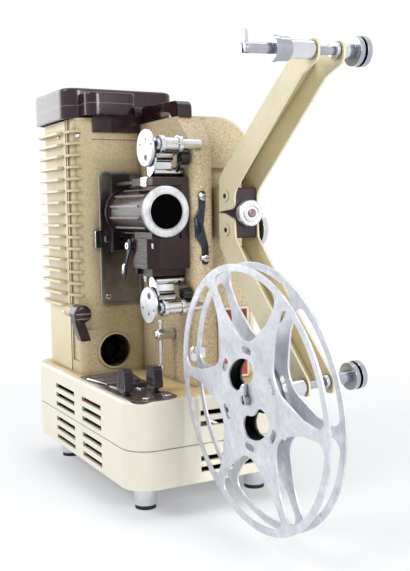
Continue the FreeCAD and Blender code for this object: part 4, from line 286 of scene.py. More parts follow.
def mix(tree, factor, first, second):
    """One colour over another by a factor."""
    made = node(tree, "ShaderNodeMix", data_type="RGBA")
    for key, value in ((0, factor), (6, first), (7, second)):
        feed(tree, made.inputs[key], value)
    return made.outputs[2]


def maths(tree, operation, first, second=0.0, clamp=False):
    """One step of arithmetic on values."""
    return node(tree, "ShaderNodeMath", {0: first, 1: second}, operation=operation,
                use_clamp=clamp).outputs[0]


def vectors(tree, operation, first, second=(0.0, 0.0, 0.0)):
    """One step of arithmetic on vectors; a length or a dot product is a value."""
    made = node(tree, "ShaderNodeVectorMath", {0: first, 1: second}, operation=operation)
    return made.outputs["Value" if operation in ("LENGTH", "DOT_PRODUCT") else "Vector"]


def split(tree, vector):
    """The three parts of a vector."""
    return node(tree, "ShaderNodeSeparateXYZ", {0: vector}).outputs


def spread(tree, value, low, high, to_low=0.0, to_high=1.0):
    """A value mapped from one span to another, clamped."""
    return node(tree, "ShaderNodeMapRange", {0: value, 1: low, 2: high, 3: to_low, 4: to_high}).outputs[0]


def object_place(tree):
    """Object coordinates."""
    return tree.nodes.new("ShaderNodeTexCoord").outputs["Object"]


def noise(tree, where, scale, detail, roughness):
    """Cloudy noise at a place."""
    inputs = {"Vector": where, "Scale": scale, "Detail": detail, "Roughness": roughness}
    return node(tree, "ShaderNodeTexNoise", inputs).outputs["Fac"]


# Effects that several materials share

FLOAT = "NodeSocketFloat"
COLOUR = "NodeSocketColor"
VECTOR = "NodeSocketVector"


def make_mottle():
    """Slow drifting of one colour into another."""
    tree, given, out = group(
        "mottle",
        [("Scale", FLOAT, 30.0), ("Amount", FLOAT, 0.3),
         ("First", COLOUR, (1, 1, 1, 1)), ("Second", COLOUR, (0, 0, 0, 1))],
        [("Color", COLOUR), ("Value", FLOAT)])
    value = spread(tree, noise(tree, object_place(tree), given["Scale"], 5.0, 0.6), 0.35, 0.68)
    part = maths(tree, "MULTIPLY", value, given["Amount"])
    feed(tree, out["Color"], mix(tree, part, given["First"], given["Second"]))
    feed(tree, out["Value"], value)
    return tree


def make_crackle():
    """Wrinkled enamel: fine dark pits and light grains with their height."""
    tree, given, out = group(
        "crackle",
        [("Scale", FLOAT, 900.0), ("Amount", FLOAT, 0.5), ("Base", COLOUR, (1, 1, 1, 1)),
         ("Pit", COLOUR, (0, 0, 0, 1)), ("Grain", COLOUR, (1, 1, 1, 1))],
        [("Color", COLOUR), ("Height", FLOAT)])
    where = object_place(tree)
    fine = noise(tree, where, given["Scale"], 3.0, 0.6)
    coarse_scale = maths(tree, "MULTIPLY", given["Scale"], 0.42)
    coarse = node(tree, "ShaderNodeTexVoronoi", {"Vector": where, "Scale": coarse_scale}, feature="SMOOTH_F1")
    pits = maths(tree, "MULTIPLY", spread(tree, fine, 0.46, 0.34), given["Amount"])
    grains = maths(tree, "MULTIPLY", spread(tree, fine, 0.55, 0.68), given["Amount"])
    pitted = mix(tree, pits, given["Base"], given["Pit"])
    feed(tree, out["Color"], mix(tree, grains, pitted, given["Grain"]))
    height = maths(tree, "ADD", maths(tree, "MULTIPLY", fine, 0.6),
                   maths(tree, "MULTIPLY", coarse.outputs["Distance"], 0.6))
    feed(tree, out["Height"], height)
    return tree


def make_edge_wear():
    """Mask of worn, chipped edges, and the rounded normal of those edges."""
    tree, given, out = group(
        "edge_wear",
        [("Radius", FLOAT, 0.0008), ("Amount", FLOAT, 0.5), ("Chip Scale", FLOAT, 260.0)],
        [("Mask", FLOAT), ("Normal", VECTOR)])
    rounded = node(tree, "ShaderNodeBevel", {"Radius": given["Radius"]}, samples=4).outputs["Normal"]
    flat = tree.nodes.new("ShaderNodeNewGeometry").outputs["Normal"]
    edge = spread(tree, vectors(tree, "DOT_PRODUCT", rounded, flat), 0.985, 0.86)
    chips = spread(tree, noise(tree, object_place(tree), given["Chip Scale"], 6.0, 0.7), 0.42, 0.6)
    mask = maths(tree, "MULTIPLY", maths(tree, "MULTIPLY", edge, chips), given["Amount"], clamp=True)
    feed(tree, out["Mask"], mask)
    feed(tree, out["Normal"], rounded)
    return tree


def make_dust_and_corner_shade():
    """Mask of dust on upward faces, and of painted shade in inner corners taken from ambient occlusion."""
    tree, given, out = group(
        "dust_and_corner_shade",
        [("Dust", FLOAT, 0.2), ("Corner", FLOAT, 0.5), ("Distance", FLOAT, 0.006)],
        [("Dust", FLOAT), ("Corner", FLOAT)])
    flat = tree.nodes.new("ShaderNodeNewGeometry").outputs["Normal"]
    upward = spread(tree, split(tree, flat)["Z"], 0.55, 1.0)
    patches = spread(tree, noise(tree, object_place(tree), 120.0, 6.0, 0.65), 0.35, 0.75)
    dust = maths(tree, "MULTIPLY", upward, patches)
    feed(tree, out["Dust"], maths(tree, "MULTIPLY", dust, given["Dust"]))
    # Painted shade: ambient occlusion darkens the inner corners.
    hollow = node(tree, "ShaderNodeAmbientOcclusion", {"Distance": given["Distance"]}, samples=6)
    corner_shade = spread(tree, hollow.outputs["AO"], 0.85, 0.25)
    feed(tree, out["Corner"], maths(tree, "MULTIPLY", corner_shade, given["Corner"]))
    return tree


def make_streaks():
    """Fine lines along one direction, as brushing or mould flow leaves them."""
    tree, given, out = group(
        "streaks",
        [("Stretch", VECTOR, (900.0, 900.0, 20.0)), ("Low", FLOAT, 0.3), ("High", FLOAT, 0.7)],
        [("Value", FLOAT)])
    lines = noise(tree, vectors(tree, "MULTIPLY", object_place(tree), given["Stretch"]), 1.0, 4.0, 0.6)
    feed(tree, out["Value"], spread(tree, lines, 0.3, 0.7, given["Low"], given["High"]))
    return tree


def make_radial():
    """Distance from an axis through a point; Keep is 0 along that axis and 1 across it."""
    tree, given, out = group(
        "radial",
        [("Centre", VECTOR, (0.0, 0.0, 0.0)), ("Keep", VECTOR, (1.0, 0.0, 1.0))],
        [("Distance", FLOAT)])
    moved = vectors(tree, "SUBTRACT", object_place(tree), given["Centre"])
    feed(tree, out["Distance"], vectors(tree, "LENGTH", vectors(tree, "MULTIPLY", moved, given["Keep"])))
    return tree


def make_rim_distance():
    """Distance inside a plan with round corners, and the height above its centre."""
    tree, given, out = group(
        "rim_distance",
        [("Centre", VECTOR, (0.0, 0.0, 0.0)), ("Half", VECTOR, (0.07, 0.11, 0.0)), ("Corner", FLOAT, 0.02)],
        [("Inside", FLOAT), ("Height", FLOAT)])
    moved = vectors(tree, "SUBTRACT", object_place(tree), given["Centre"])
    past = split(tree, vectors(tree, "SUBTRACT", vectors(tree, "ABSOLUTE", moved), given["Half"]))
    x = maths(tree, "ADD", past["X"], given["Corner"])
    y = maths(tree, "ADD", past["Y"], given["Corner"])
    squares = [maths(tree, "POWER", maths(tree, "MAXIMUM", side, 0.0), 2.0) for side in (x, y)]
    outer = maths(tree, "POWER", maths(tree, "ADD", *squares), 0.5)
    inner = maths(tree, "MINIMUM", maths(tree, "MAXIMUM", x, y), 0.0)
    feed(tree, out["Inside"], maths(tree, "SUBTRACT", given["Corner"], maths(tree, "ADD", outer, inner)))
    feed(tree, out["Height"], split(tree, moved)["Z"])
    return tree


mottle = make_mottle()
crackle = make_crackle()
edge_wear = make_edge_wear()
dust_and_corner_shade = make_dust_and_corner_shade()
streaks = make_streaks()
radial = make_radial()
rim_distance = make_rim_distance()


# Finishes, each with its own shader

def material(name, metallic=0.0, coat=0.0, coat_roughness=0.1, ior=1.5):
    """A new material with its shader, ready for its nodes."""
    made = bpy.data.materials.new(name)
    made.use_nodes = True
    tree = made.node_tree
    shader = tree.nodes["Principled BSDF"]
    shader.inputs["Metallic"].default_value = metallic
    shader.inputs["Coat Weight"].default_value = coat
    shader.inputs["Coat Roughness"].default_value = coat_roughness
    shader.inputs["IOR"].default_value = ior
    return made, tree, shader.inputs


def bump(tree, height, strength, distance, normal):
    """Normal of a relief over a rounded edge's normal."""
    inputs = {"Strength": strength, "Distance": distance, "Height": height, "Normal": normal}
    return node(tree, "ShaderNodeBump", inputs).outputs["Normal"]


def enamel(name, base, second, pit, grain, scale, amount, relief, rough, worn, wear=0.4, dust=0.1,
           deck=None, inner=None):
    """Painted metal: mottled, crackled, darkened by painted shade in its corners and worn at its edges."""
    made, tree, shader = material(name, coat=0.08, coat_roughness=0.3)
    drift = use(tree, mottle, Scale=22.0, Amount=0.55, First=colour(base), Second=colour(second))
    ground = deck(tree, drift["Color"]) if deck else drift["Color"]
    paint = use(tree, crackle, Scale=scale, Amount=amount, Base=ground, Pit=colour(pit), Grain=colour(grain))
    edges = use(tree, edge_wear, Radius=0.0007, Amount=wear, Chip_Scale=300.0)
    dust_and_shade = use(tree, dust_and_corner_shade, Dust=dust, Corner=0.75, Distance=0.007)
    # Painted shade: the pit colour laid into inner corners; dust on upward faces follows.
    with_corner_shade = mix(tree, dust_and_shade["Corner"], paint["Color"], colour(pit))
    dusted_and_shaded = mix(tree, dust_and_shade["Dust"], with_corner_shade, colour("#CFC6B4"))
    shown = mix(tree, edges["Mask"], dusted_and_shaded, colour(worn))
    feed(tree, shader["Base Color"], inner(tree, shown) if inner else shown)
    feed(tree, shader["Roughness"], spread(tree, drift["Value"], 0.0, 1.0, rough - 0.06, rough + 0.08))
    feed(tree, shader["Normal"], bump(tree, paint["Height"], relief, 0.0004, edges["Normal"]))
    return made


def bakelite(name, dark, light, rough, dust, flow=(40.0, 40.0, 14.0), coat=0.35, edge=0.0006):
    """Moulded bakelite: swirled colour, glossy skin, hair scratches, dust on upward faces and painted shade
    in the corners.
    """
    made, tree, shader = material(name, coat=coat, coat_roughness=0.07, ior=1.45)
    shader["Specular IOR Level"].default_value = 0.3
    swirl = use(tree, streaks, Stretch=flow, Low=0.0, High=0.8)["Value"]
    body = mix(tree, swirl, colour(dark), colour(light))
    edges = use(tree, edge_wear, Radius=edge, Amount=0.25, Chip_Scale=420.0)
    dust_and_shade = use(tree, dust_and_corner_shade, Dust=dust, Corner=0.35, Distance=0.004)
    # Dust on upward faces together with painted shade in the corners.
    with_corner_shade = maths(tree, "ADD", dust_and_shade["Dust"], dust_and_shade["Corner"], clamp=True)
    dusted_and_shaded = mix(tree, with_corner_shade, body, colour("#6B6062"))
    feed(tree, shader["Base Color"], mix(tree, edges["Mask"], dusted_and_shaded, colour("#9A8F92")))
    scratches = use(tree, streaks, Stretch=(1500.0, 60.0, 1500.0), Low=rough - 0.08, High=rough + 0.14)
    feed(tree, shader["Roughness"], scratches["Value"])
    feed(tree, shader["Normal"], bump(tree, swirl, 0.08, 0.0005, edges["Normal"]))
    return made


def metal(name, base, stain, rough, stretch=(60.0, 60.0, 60.0), corner_shade=0.6, stain_amount=0.35, relief=0.05,
          share=1.0):
    """Bare metal: smudged or brushed, with painted shade in its corners and bright worn edges."""
    made, tree, shader = material(name, metallic=share)
    drift = use(tree, mottle, Scale=70.0, Amount=stain_amount, First=colour(base), Second=colour(stain))
    lines = use(tree, streaks, Stretch=stretch, Low=0.0, High=1.0)["Value"]
    edges = use(tree, edge_wear, Radius=0.0005, Amount=0.35, Chip_Scale=500.0)
    dust_and_shade = use(tree, dust_and_corner_shade, Dust=0.12, Corner=corner_shade, Distance=0.005)
    tinted = mix(tree, maths(tree, "MULTIPLY", lines, 0.25), drift["Color"], colour(stain))
    # Painted shade: corners darkened towards near-black by ambient occlusion.
    with_corner_shade = mix(tree, dust_and_shade["Corner"], tinted, colour("#1C1A1C"))
    feed(tree, shader["Base Color"], mix(tree, edges["Mask"], with_corner_shade, colour("#F4F4F6")))
    feed(tree, shader["Roughness"], spread(tree, lines, 0.0, 1.0, rough * 0.7, rough * 1.4))
    feed(tree, shader["Normal"], bump(tree, lines, relief, 0.0002, edges["Normal"]))
    return made


def dull(name, base, second, rough, relief=0.3, scale=600.0):
    """Dull material such as rubber, cloth or blackened metal."""
    made, tree, shader = material(name)
    drift = use(tree, mottle, Scale=90.0, Amount=0.7, First=colour(base), Second=colour(second))
    skin = use(tree, crackle, Scale=scale, Amount=0.3, Base=drift["Color"], Pit=colour(base),
               Grain=colour(second))
    edges = use(tree, edge_wear, Radius=0.0005, Amount=0.3, Chip_Scale=500.0)
    feed(tree, shader["Base Color"], mix(tree, edges["Mask"], skin["Color"], colour(second)))
    feed(tree, shader["Roughness"], spread(tree, drift["Value"], 0.0, 1.0, rough - 0.08, rough + 0.08))
    feed(tree, shader["Normal"], bump(tree, skin["Height"], relief, 0.0003, edges["Normal"]))
    return made


def clear(name, tint, second):
    """Polished glass with a faint haze."""
    made, tree, shader = material(name, ior=1.12)
    shader["Transmission Weight"].default_value = 1.0
    shader["Specular IOR Level"].default_value = 0.12
    haze = use(tree, mottle, Scale=60.0, Amount=0.3, First=colour(tint), Second=colour(second))
    feed(tree, shader["Base Color"], haze["Color"])
    feed(tree, shader["Roughness"], spread(tree, haze["Value"], 0.0, 1.0, 0.01, 0.06))
    return made


# Masks over parts of a piece, in metres

BASE_PLAN = {"Centre": tuple(place(0, 0, 0)), "Half": (0.0725, 0.115, 0.0), "Corner": 0.0205}
HOUSE_PLAN = {"Centre": tuple(place(-33.85, 58.9, 0)), "Half": (0.02865, 0.0481, 0.0), "Corner": 0.017}
CONTROL_PLAN = {"Centre": tuple(place(-44.65, -51.9, 0)), "Half": (0.02335, 0.0607, 0.0), "Corner": 0.012}
BASE_WALL = (0.0021, 0.0024)
HOUSE_WALL = (0.0016, 0.0019)
DECK_UNDERSIDE = (0.0855, 0.0858)
DECK_TOP = (0.0874, 0.0877)
RED_PLATE_MIDDLE = (0.0393, 0.1190)
RED_PLATE_HALF = (0.0147, 0.0294)
TRAY_MIDDLE = (-0.025, 0.2045)
TRAY_HALF = (0.019, 0.0575)
SLEEVE_RIBS = 12
SLEEVE_SPAN = (0.0175, 0.0760)
CORE_SPAN = (-0.0525, -0.0428)


def between(tree, value, low, high):
    """1 where a value lies between two limits."""
    soft = 0.0001
    return maths(tree, "MULTIPLY", spread(tree, value, low - soft, low),
                 spread(tree, value, high + soft, high))


def within(tree, centre, keep, radius):
    """1 inside a radius round an axis, 0 outside it."""
    far = use(tree, radial, Centre=centre, Keep=keep)["Distance"]
    return spread(tree, far, radius + 0.0002, radius)


def edge_distance(tree, x, z, middle, half):
    """Distance from the nearest side of an upright rectangle."""
    sides = [maths(tree, "SUBTRACT", reach, maths(tree, "ABSOLUTE", maths(tree, "SUBTRACT", value, centre)))
             for value, centre, reach in ((x, middle[0], half[0]), (z, middle[1], half[1]))]
    return maths(tree, "MINIMUM", *sides)


def deck_lines(tree, ground):
    """Tan deck inside the cream rim of the base, with a thin tan line along the edge."""
    rim = use(tree, rim_distance, **BASE_PLAN)
    inside = maths(tree, "MULTIPLY", spread(tree, rim["Height"], *DECK_TOP),
                   spread(tree, rim["Inside"], 0.0046, 0.005))
    line = maths(tree, "MULTIPLY", spread(tree, rim["Inside"], 0.0016, 0.0018),
                 spread(tree, rim["Inside"], 0.0026, 0.0024))
    line = maths(tree, "MULTIPLY", line, spread(tree, rim["Height"], *DECK_UNDERSIDE))
    tan = mix(tree, inside, ground, colour("#DDC48E"))
    return mix(tree, maths(tree, "MULTIPLY", line, 0.7), tan, colour("#C9AE7C"))


def base_inside_shade(tree, shown):
    """Painted shade: near-black on the inner faces of the base."""
    rim = use(tree, rim_distance, **BASE_PLAN)
    below = spread(tree, rim["Height"], *DECK_UNDERSIDE[::-1])
    inner = maths(tree, "MULTIPLY", spread(tree, rim["Inside"], *BASE_WALL), below)
    return mix(tree, inner, shown, colour("#0A0A0B"))


def house_inside_shade(tree, shown):
    """Painted shade: near-black on the inner faces of the lamp house."""
    rim = use(tree, rim_distance, **HOUSE_PLAN)
    return mix(tree, spread(tree, rim["Inside"], *HOUSE_WALL), shown, colour("#0B0A09"))


def lens_hole(tree):
    """The bore of the lens ring."""
    return within(tree, LENS_AXIS, ROUND_Y, 0.01335)


def left_ends(tree):
    """The left ends of the arm pivots, painted like the arms."""
    return spread(tree, split(tree, object_place(tree))["X"], 0.0135, 0.0133)


def shoe_knob(height):
    """The thumb knob of a film shoe, by its height in millimetres."""
    def mask(tree):
        left = spread(tree, split(tree, object_place(tree))["X"], -0.0135, -0.0130)
        near = within(tree, tuple(place(0, -81.5, height)), ROUND_X, 0.0052)
        return maths(tree, "MULTIPLY", left, near)
    return mask


def red_plate_frame(tree):
    """Pale frame of the red plate."""
    where = split(tree, object_place(tree))
    border = edge_distance(tree, where["X"], where["Z"], RED_PLATE_MIDDLE, RED_PLATE_HALF)
    return spread(tree, border, 0.0022, 0.0018)


def red_plate_top_shade(tree):
    """The upper end of the red plate, darker with painted shade."""
    return maths(tree, "MULTIPLY", spread(tree, split(tree, object_place(tree))["Z"], 0.124, 0.139), 0.75)


def tray_rim(tree):
    """Pale rolled rim of the gate tray."""
    where = split(tree, object_place(tree))
    rim = spread(tree, edge_distance(tree, where["X"], where["Z"], TRAY_MIDDLE, TRAY_HALF), 0.0028, 0.0024)
    return maths(tree, "MULTIPLY", rim, spread(tree, where["Y"], 0.0985, 0.0988))


def block_rear(tree):
    """The rear of the arm block, which is painted like the casting."""
    return spread(tree, split(tree, object_place(tree))["Y"], -0.0043, -0.0040)


def rib_crest_highlights(tree):
    """Pale crests of the focusing sleeve's ribs: painted highlights along each crest."""
    where = split(tree, object_place(tree))
    x = maths(tree, "SUBTRACT", where["X"], LENS_AXIS[0])
    z = maths(tree, "SUBTRACT", where["Z"], LENS_AXIS[2])
    angle = maths(tree, "ARCTAN2", x, z)
    step = maths(tree, "FRACT", maths(tree, "MULTIPLY", angle, SLEEVE_RIBS / math.tau))
    crest = spread(tree, maths(tree, "ABSOLUTE", maths(tree, "SUBTRACT", step, 0.5)), 0.13, 0.09)
    ribbed = between(tree, where["Y"], *SLEEVE_SPAN)
    return maths(tree, "MULTIPLY", maths(tree, "MULTIPLY", crest, ribbed), 0.75)


def core_shade(tree):
    """The inner wall of the reel's core, painted black as shade."""
    along = vectors(tree, "DOT_PRODUCT", object_place(tree), tuple(REEL_AXIS))
    depth = maths(tree, "SUBTRACT", along, REEL_SPOT.dot(REEL_AXIS))
    near = within(tree, tuple(REEL_MIDDLE), ROUND_X, 0.0292)
    return maths(tree, "MULTIPLY", near, between(tree, depth, *CORE_SPAN))


def control_outline(tree):
    """Thin pale line round the top of the control plate."""
    rim = use(tree, rim_distance, **CONTROL_PLAN)
    line = between(tree, rim["Inside"], 0.0010, 0.0016)
    return maths(tree, "MULTIPLY", line, spread(tree, rim["Height"], 0.0884, 0.0886))


def cap_seam_highlight(tree):
    """Painted highlight: a thin pale line along the moulding seam round the lamp cap."""
    height = split(tree, object_place(tree))["Z"]
    return maths(tree, "MULTIPLY", between(tree, height, 0.3176, 0.3180), 0.7)


def recolour(made, mask, tint, metallic, rough):
    """Another colour, metal share and roughness over a part of a material, by mask."""
    tree = made.node_tree
    shader = tree.nodes["Principled BSDF"].inputs
    share = mask(tree)
    old = shader["Base Color"].links[0].from_socket
    feed(tree, shader["Base Color"], mix(tree, share, old, colour(tint)))
    for label, target in (("Metallic", metallic), ("Roughness", rough)):
        socket = shader[label]
        before = socket.links[0].from_socket if socket.links else socket.default_value
        blend = node(tree, "ShaderNodeMix", {0: share, 2: before, 3: target})
        feed(tree, socket, blend.outputs[0])
    return made


# Paints

CREAM = {"base": "#EBE5D3", "second": "#E3DCC8", "pit": "#8E8468", "grain": "#F5F1E6", "worn": "#6E675A"}
cream = enamel("cream_enamel", **CREAM, scale=1400.0, amount=0.14, relief=0.06, rough=0.34, inner=base_inside_shade)
cream_deck = enamel("cream_enamel_with_tan_deck", **CREAM, scale=1400.0, amount=0.16, relief=0.08, rough=0.34,
                    wear=0.45, deck=deck_lines, inner=base_inside_shade)
tan_rough = enamel("tan_wrinkle_enamel", "#CBB692", "#BFA883", "#6E5B3E", "#E8DCC2", worn="#B9A681",
                   scale=720.0, amount=0.62, relief=0.4, rough=0.5, dust=0.12)
# Painted light: the door's tan is a paler copy of the lamp house's tan, for the light that falls on the door.
tan_door_lit = enamel("tan_door_lit_enamel", "#DCCDA6", "#D2C096", "#93814F", "#EFE5C8", worn="#EBDDB8",
                  scale=1200.0, amount=0.3, relief=0.2, rough=0.42, inner=house_inside_shade)
tan_front = enamel("tan_lamp_house_enamel", "#C8B68F", "#B8A57B", "#7C6944", "#E3D5AF", worn="#E3D3A6",
                   scale=900.0, amount=0.45, relief=0.25, rough=0.45, inner=house_inside_shade)
arm_cream = enamel("cream_arm_enamel", "#E4D9B8", "#D8CBA5", "#94875F", "#F1E9CF", worn="#8F8768",
                   scale=1300.0, amount=0.3, relief=0.16, rough=0.42, wear=0.3)
red_enamel = enamel("red_plate_enamel", "#B8452F", "#C9583C", "#7C2517", "#D98064", worn="#E7DDC9",
                    scale=800.0, amount=0.3, relief=0.1, rough=0.3, wear=0.5)
recolour(red_enamel, red_plate_top_shade, "#5E1A14", 0.0, 0.3)
recolour(red_enamel, red_plate_frame, "#D8D2C6", 0.0, 0.3)

# Bakelite

brown = bakelite("brown_bakelite", "#170B0D", "#3A1F22", rough=0.15, dust=0.1)
holder_brown = bakelite("lens_holder_bakelite", "#170B0D", "#3A1F22", rough=0.3, dust=0.1, coat=0.06)
sleeve_brown = bakelite("sleeve_bakelite", "#13090C", "#301A1F", rough=0.22, dust=0.05, coat=0.2)
# Painted highlights on the sleeve's rib crests.
recolour(sleeve_brown, rib_crest_highlights, "#9D939B", 0.0, 0.25)
cap_brown = bakelite("cap_bakelite", "#180B10", "#3C2029", rough=0.13, dust=0.1, edge=0.0022)
# Painted highlight along the cap's seam.
recolour(cap_brown, cap_seam_highlight, "#8A7C7C", 0.0, 0.2)
lever_black = bakelite("lever_bakelite", "#150C12", "#30222A", rough=0.26, dust=0.2)
aubergine = bakelite("aubergine_bakelite", "#241820", "#46343E", rough=0.28, dust=0.3)
block_bakelite = bakelite("arm_block_bakelite", "#241820", "#46343E", rough=0.28, dust=0.3)
recolour(block_bakelite, block_rear, "#BCA780", 0.0, 0.5)
panel_brown = bakelite("control_plate_bakelite", "#262022", "#4A4043", rough=0.34, dust=0.5,
                       flow=(160.0, 160.0, 60.0))
recolour(panel_brown, control_outline, "#A79C9C", 0.0, 0.3)
# Pale bakelite for worn parts, and for painted highlights on the latch.
worn_and_highlight_bakelite = bakelite("worn_edge_and_highlight_bakelite", "#5A5152", "#8F8482", rough=0.4, dust=0.2)

# Metals

BRIGHT = {"base": "#E9EAEE", "stain": "#A9ABB4", "rough": 0.11, "relief": 0.02}
chrome = metal("bright_chrome", **BRIGHT, corner_shade=0.95, stain_amount=0.3)
pivot_chrome = metal("arm_pivot_chrome", **BRIGHT, corner_shade=0.9)
recolour(pivot_chrome, left_ends, "#DCD1B0", 0.0, 0.45)
shoe_chrome = metal("film_shoe_chrome", **BRIGHT, corner_shade=0.95)
for knob_height in (268.0, 163.0):
    recolour(shoe_chrome, shoe_knob(knob_height), "#101012", 0.0, 0.25)
sprocket_chrome = metal("satin_sprocket_chrome", "#E4E5EA", "#A0A1A8", rough=0.3, corner_shade=0.7, relief=0.02,
                        share=0.85)
spindle_steel = metal("polished_spindle_steel", "#C2C5CE", "#7E8088", rough=0.16, corner_shade=0.9, relief=0.02)
steel = metal("brushed_steel", "#A3A1A0", "#6E6B6A", rough=0.3, stretch=(260.0, 260.0, 30.0), relief=0.08)
bronzed = metal("bronzed_screw_steel", "#A08C90", "#4E4044", rough=0.3)
blued = metal("blued_strap_steel", "#434859", "#1E212B", rough=0.3, stretch=(60.0, 60.0, 40.0),
              stain_amount=0.8)
reel_metal = metal("stained_reel_aluminium", "#E4E7EE", "#8A8786", rough=0.42, stretch=(220.0, 220.0, 220.0),
                   stain_amount=0.3, share=0.55)
# Painted shade on the reel's core between the flanges.
recolour(reel_metal, core_shade, "#101012", 0.0, 0.4)
foot_metal = metal("turned_aluminium", "#EBEDF2", "#BFC3CC", rough=0.24, stretch=(40.0, 40.0, 2600.0),
                   corner_shade=0.3, relief=0.1, share=0.8)
knob_metal = metal("satin_knob_aluminium", "#EDEEF0", "#C6C8CC", rough=0.3, stretch=(700.0, 60.0, 700.0),
                   corner_shade=0.5)
ring_metal = metal("lens_ring_aluminium", "#BEBFC2", "#77777C", rough=0.42, stretch=(300.0, 60.0, 300.0),
                   stain_amount=0.6)
recolour(ring_metal, lens_hole, "#050505", 1.0, 0.6)
tray_metal = metal("worn_tray_steel", "#95928F", "#5C5957", rough=0.34, stretch=(90.0, 90.0, 60.0),
                   corner_shade=0.7, stain_amount=0.6)
recolour(tray_metal, tray_rim, "#E4DFD6", 0.3, 0.3)
laminations = metal("core_laminations", "#5A5A60", "#232326", rough=0.45, stretch=(30.0, 2400.0, 30.0),
                    corner_shade=0.5, relief=0.4)
inner_steel = metal("oiled_steel", "#8C8A88", "#4A4643", rough=0.3)

# Dull finishes and glass

pad_rubber = dull("black_rubber", "#0E0E0F", "#2A2A2C", 0.7)
belt_brown = dull("belt_leather", "#20120B", "#43291A", 0.65)
red_cloth = dull("red_winding_tape", "#C01E17", "#E8483A", 0.5, relief=0.6, scale=380.0)
soot = dull("black_lacquer", "#0B0B0C", "#232326", 0.45, relief=0.15)
pale_paint = dull("pale_marking_paint", "#D9D5CB", "#F0EEE8", 0.4, relief=0.1)
# Painted shade: the fan is near-black so the air port reads as a dark hole.
fan_shade_black = dull("fan_shade_black", "#040404", "#0C0C0C", 0.8, relief=0.1)
fan_shade_black.node_tree.nodes["Principled BSDF"].inputs["Specular IOR Level"].default_value = 0.1
glass = clear("clear_glass", "#E8EEF2", "#C8CFD6")
# Painted shade: the lens glass is tinted dark grey for the dark inside of the lens.
lens_glass = clear("shade_tinted_lens_glass", "#34373C", "#4A4F56")

finish = {
    "base_lower_shell": cream, "base_upper_shell": cream_deck, "feet": foot_metal, "foot_pads": pad_rubber,
    "transformer_core": laminations, "transformer_coil": red_cloth, "mains_inlet": aubergine,
    "control_plate": panel_brown, "lamp_switch_lever": lever_black, "motor_switch_lever": lever_black,
    "speed_dial": panel_brown, "mechanism_casting": tan_rough, "mechanism_cover": arm_cream,
    "front_plate": red_enamel, "lens_strap": blued, "arm_block": block_bakelite, "arm_pivots": pivot_chrome,
    "clamp_knob": knob_metal, "upper_arm": arm_cream, "lower_arm": arm_cream, "upper_bushes": chrome,
    "lower_bushes": chrome, "upper_spindle": spindle_steel, "lower_spindle": spindle_steel,
    "upper_pulley": spindle_steel, "lower_pulley": spindle_steel, "upper_latch": chrome,
    "lower_latch": chrome, "reel_near_flange": reel_metal, "reel_far_flange": reel_metal,
    "lamp_house_shell": tan_front, "lamp_house_plinth": tan_front, "lamp_house_door": tan_door_lit,
    "door_latch": brown, "lamp_cap": cap_brown, "carrying_handle": brown, "gate_tray": tray_metal,
    "pressure_plate": soot, "lens_holder": holder_brown, "lens_sleeve": sleeve_brown,
    "lens_barrel": ring_metal, "lens_glasses": lens_glass, "lamp": glass, "lamp_socket": inner_steel,
    "condenser": glass, "upper_sprocket": sprocket_chrome, "lower_sprocket": sprocket_chrome,
    "upper_shoe": shoe_chrome, "lower_shoe": shoe_chrome, "upper_guide_roller": chrome,
    "lower_guide_roller": chrome, "film_posts": chrome, "framing_rod": chrome, "motor": soot,
    "fan": fan_shade_black, "shutter": soot, "drive_shaft": inner_steel, "claw": inner_steel,
    "drive_belt": belt_brown, "case_screws": chrome,
}
for name, made in finish.items():
    solid = nodes[name]
    solid.data.materials.clear()
    solid.data.materials.append(made)


# Reel flanges, cut out to the slim arms of the photograph; sizes in millimetres and degrees

WINDOWS = 6
FIRST_WINDOW = 85.0
WINDOW_ARC = (0.0, 5.5, 11.0, 16.6, 22.1)
CUTTER_DEPTH = 30.0
APEX_FAR, APEX_RADIUS = 57.9, 18.3
SIDE_TURN, SIDE_FAR, SIDE_RADIUS = 17.2, 66.0, 10.0
CORNER_FAR, CORNER_RADIUS = 77.3, 7.0


def reel_point(turn, radius):
    """A point in the middle of the reel, by its turn and its radius."""
    angle = math.radians(turn)
    upright = Vector((0, 1, 0)).cross(REEL_AXIS) * -1
    return REEL_MIDDLE + (Vector((0, -1, 0)) * math.cos(angle) + upright * math.sin(angle)) * (radius * MM)


def make_window_cutter(turn):
    """Body of one reel window: the hull of rounds at its apex, its sides and its outer corners."""
    rounds = [(turn, APEX_FAR, APEX_RADIUS)]
    rounds += [(turn + side, SIDE_FAR, SIDE_RADIUS) for side in (-SIDE_TURN, SIDE_TURN)]
    arc = [-step for step in WINDOW_ARC[:0:-1]] + list(WINDOW_ARC)
    rounds += [(turn + step, CORNER_FAR, CORNER_RADIUS) for step in arc]
    lean = REEL_AXIS.to_track_quat("Z", "Y").to_euler()
    nothing_selected()
    for index, (angle, far, radius) in enumerate(rounds):
        bpy.ops.mesh.primitive_cylinder_add(
            vertices=48, radius=radius * MM, depth=CUTTER_DEPTH * MM, location=reel_point(angle, far),
            rotation=lean)
        if not index:
            start_shaping()
    bpy.ops.mesh.select_all(action="SELECT")
    bpy.ops.mesh.convex_hull()
    bpy.ops.mesh.normals_make_consistent(inside=False)
    bpy.ops.object.mode_set(mode="OBJECT")
    return bpy.context.object


def make_slim_flange(name, cutters):
    """A copy of one flange with its windows cut wider."""
    flange = twin(nodes[name], "slim_" + name)
    open_whole(flange)
    bpy.ops.mesh.remove_doubles(threshold=MERGE)
    bpy.ops.object.mode_set(mode="OBJECT")
    for cutter in cutters:
        cut = flange.modifiers.new("window", "BOOLEAN")
        cut.operation = "DIFFERENCE"
        cut.solver = "EXACT"
        cut.object = cutter
        bpy.ops.object.modifier_apply(modifier=cut.name)
    bpy.ops.object.shade_smooth_by_angle(angle=SMOOTH)
    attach(flange, "take_up")
    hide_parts(name)


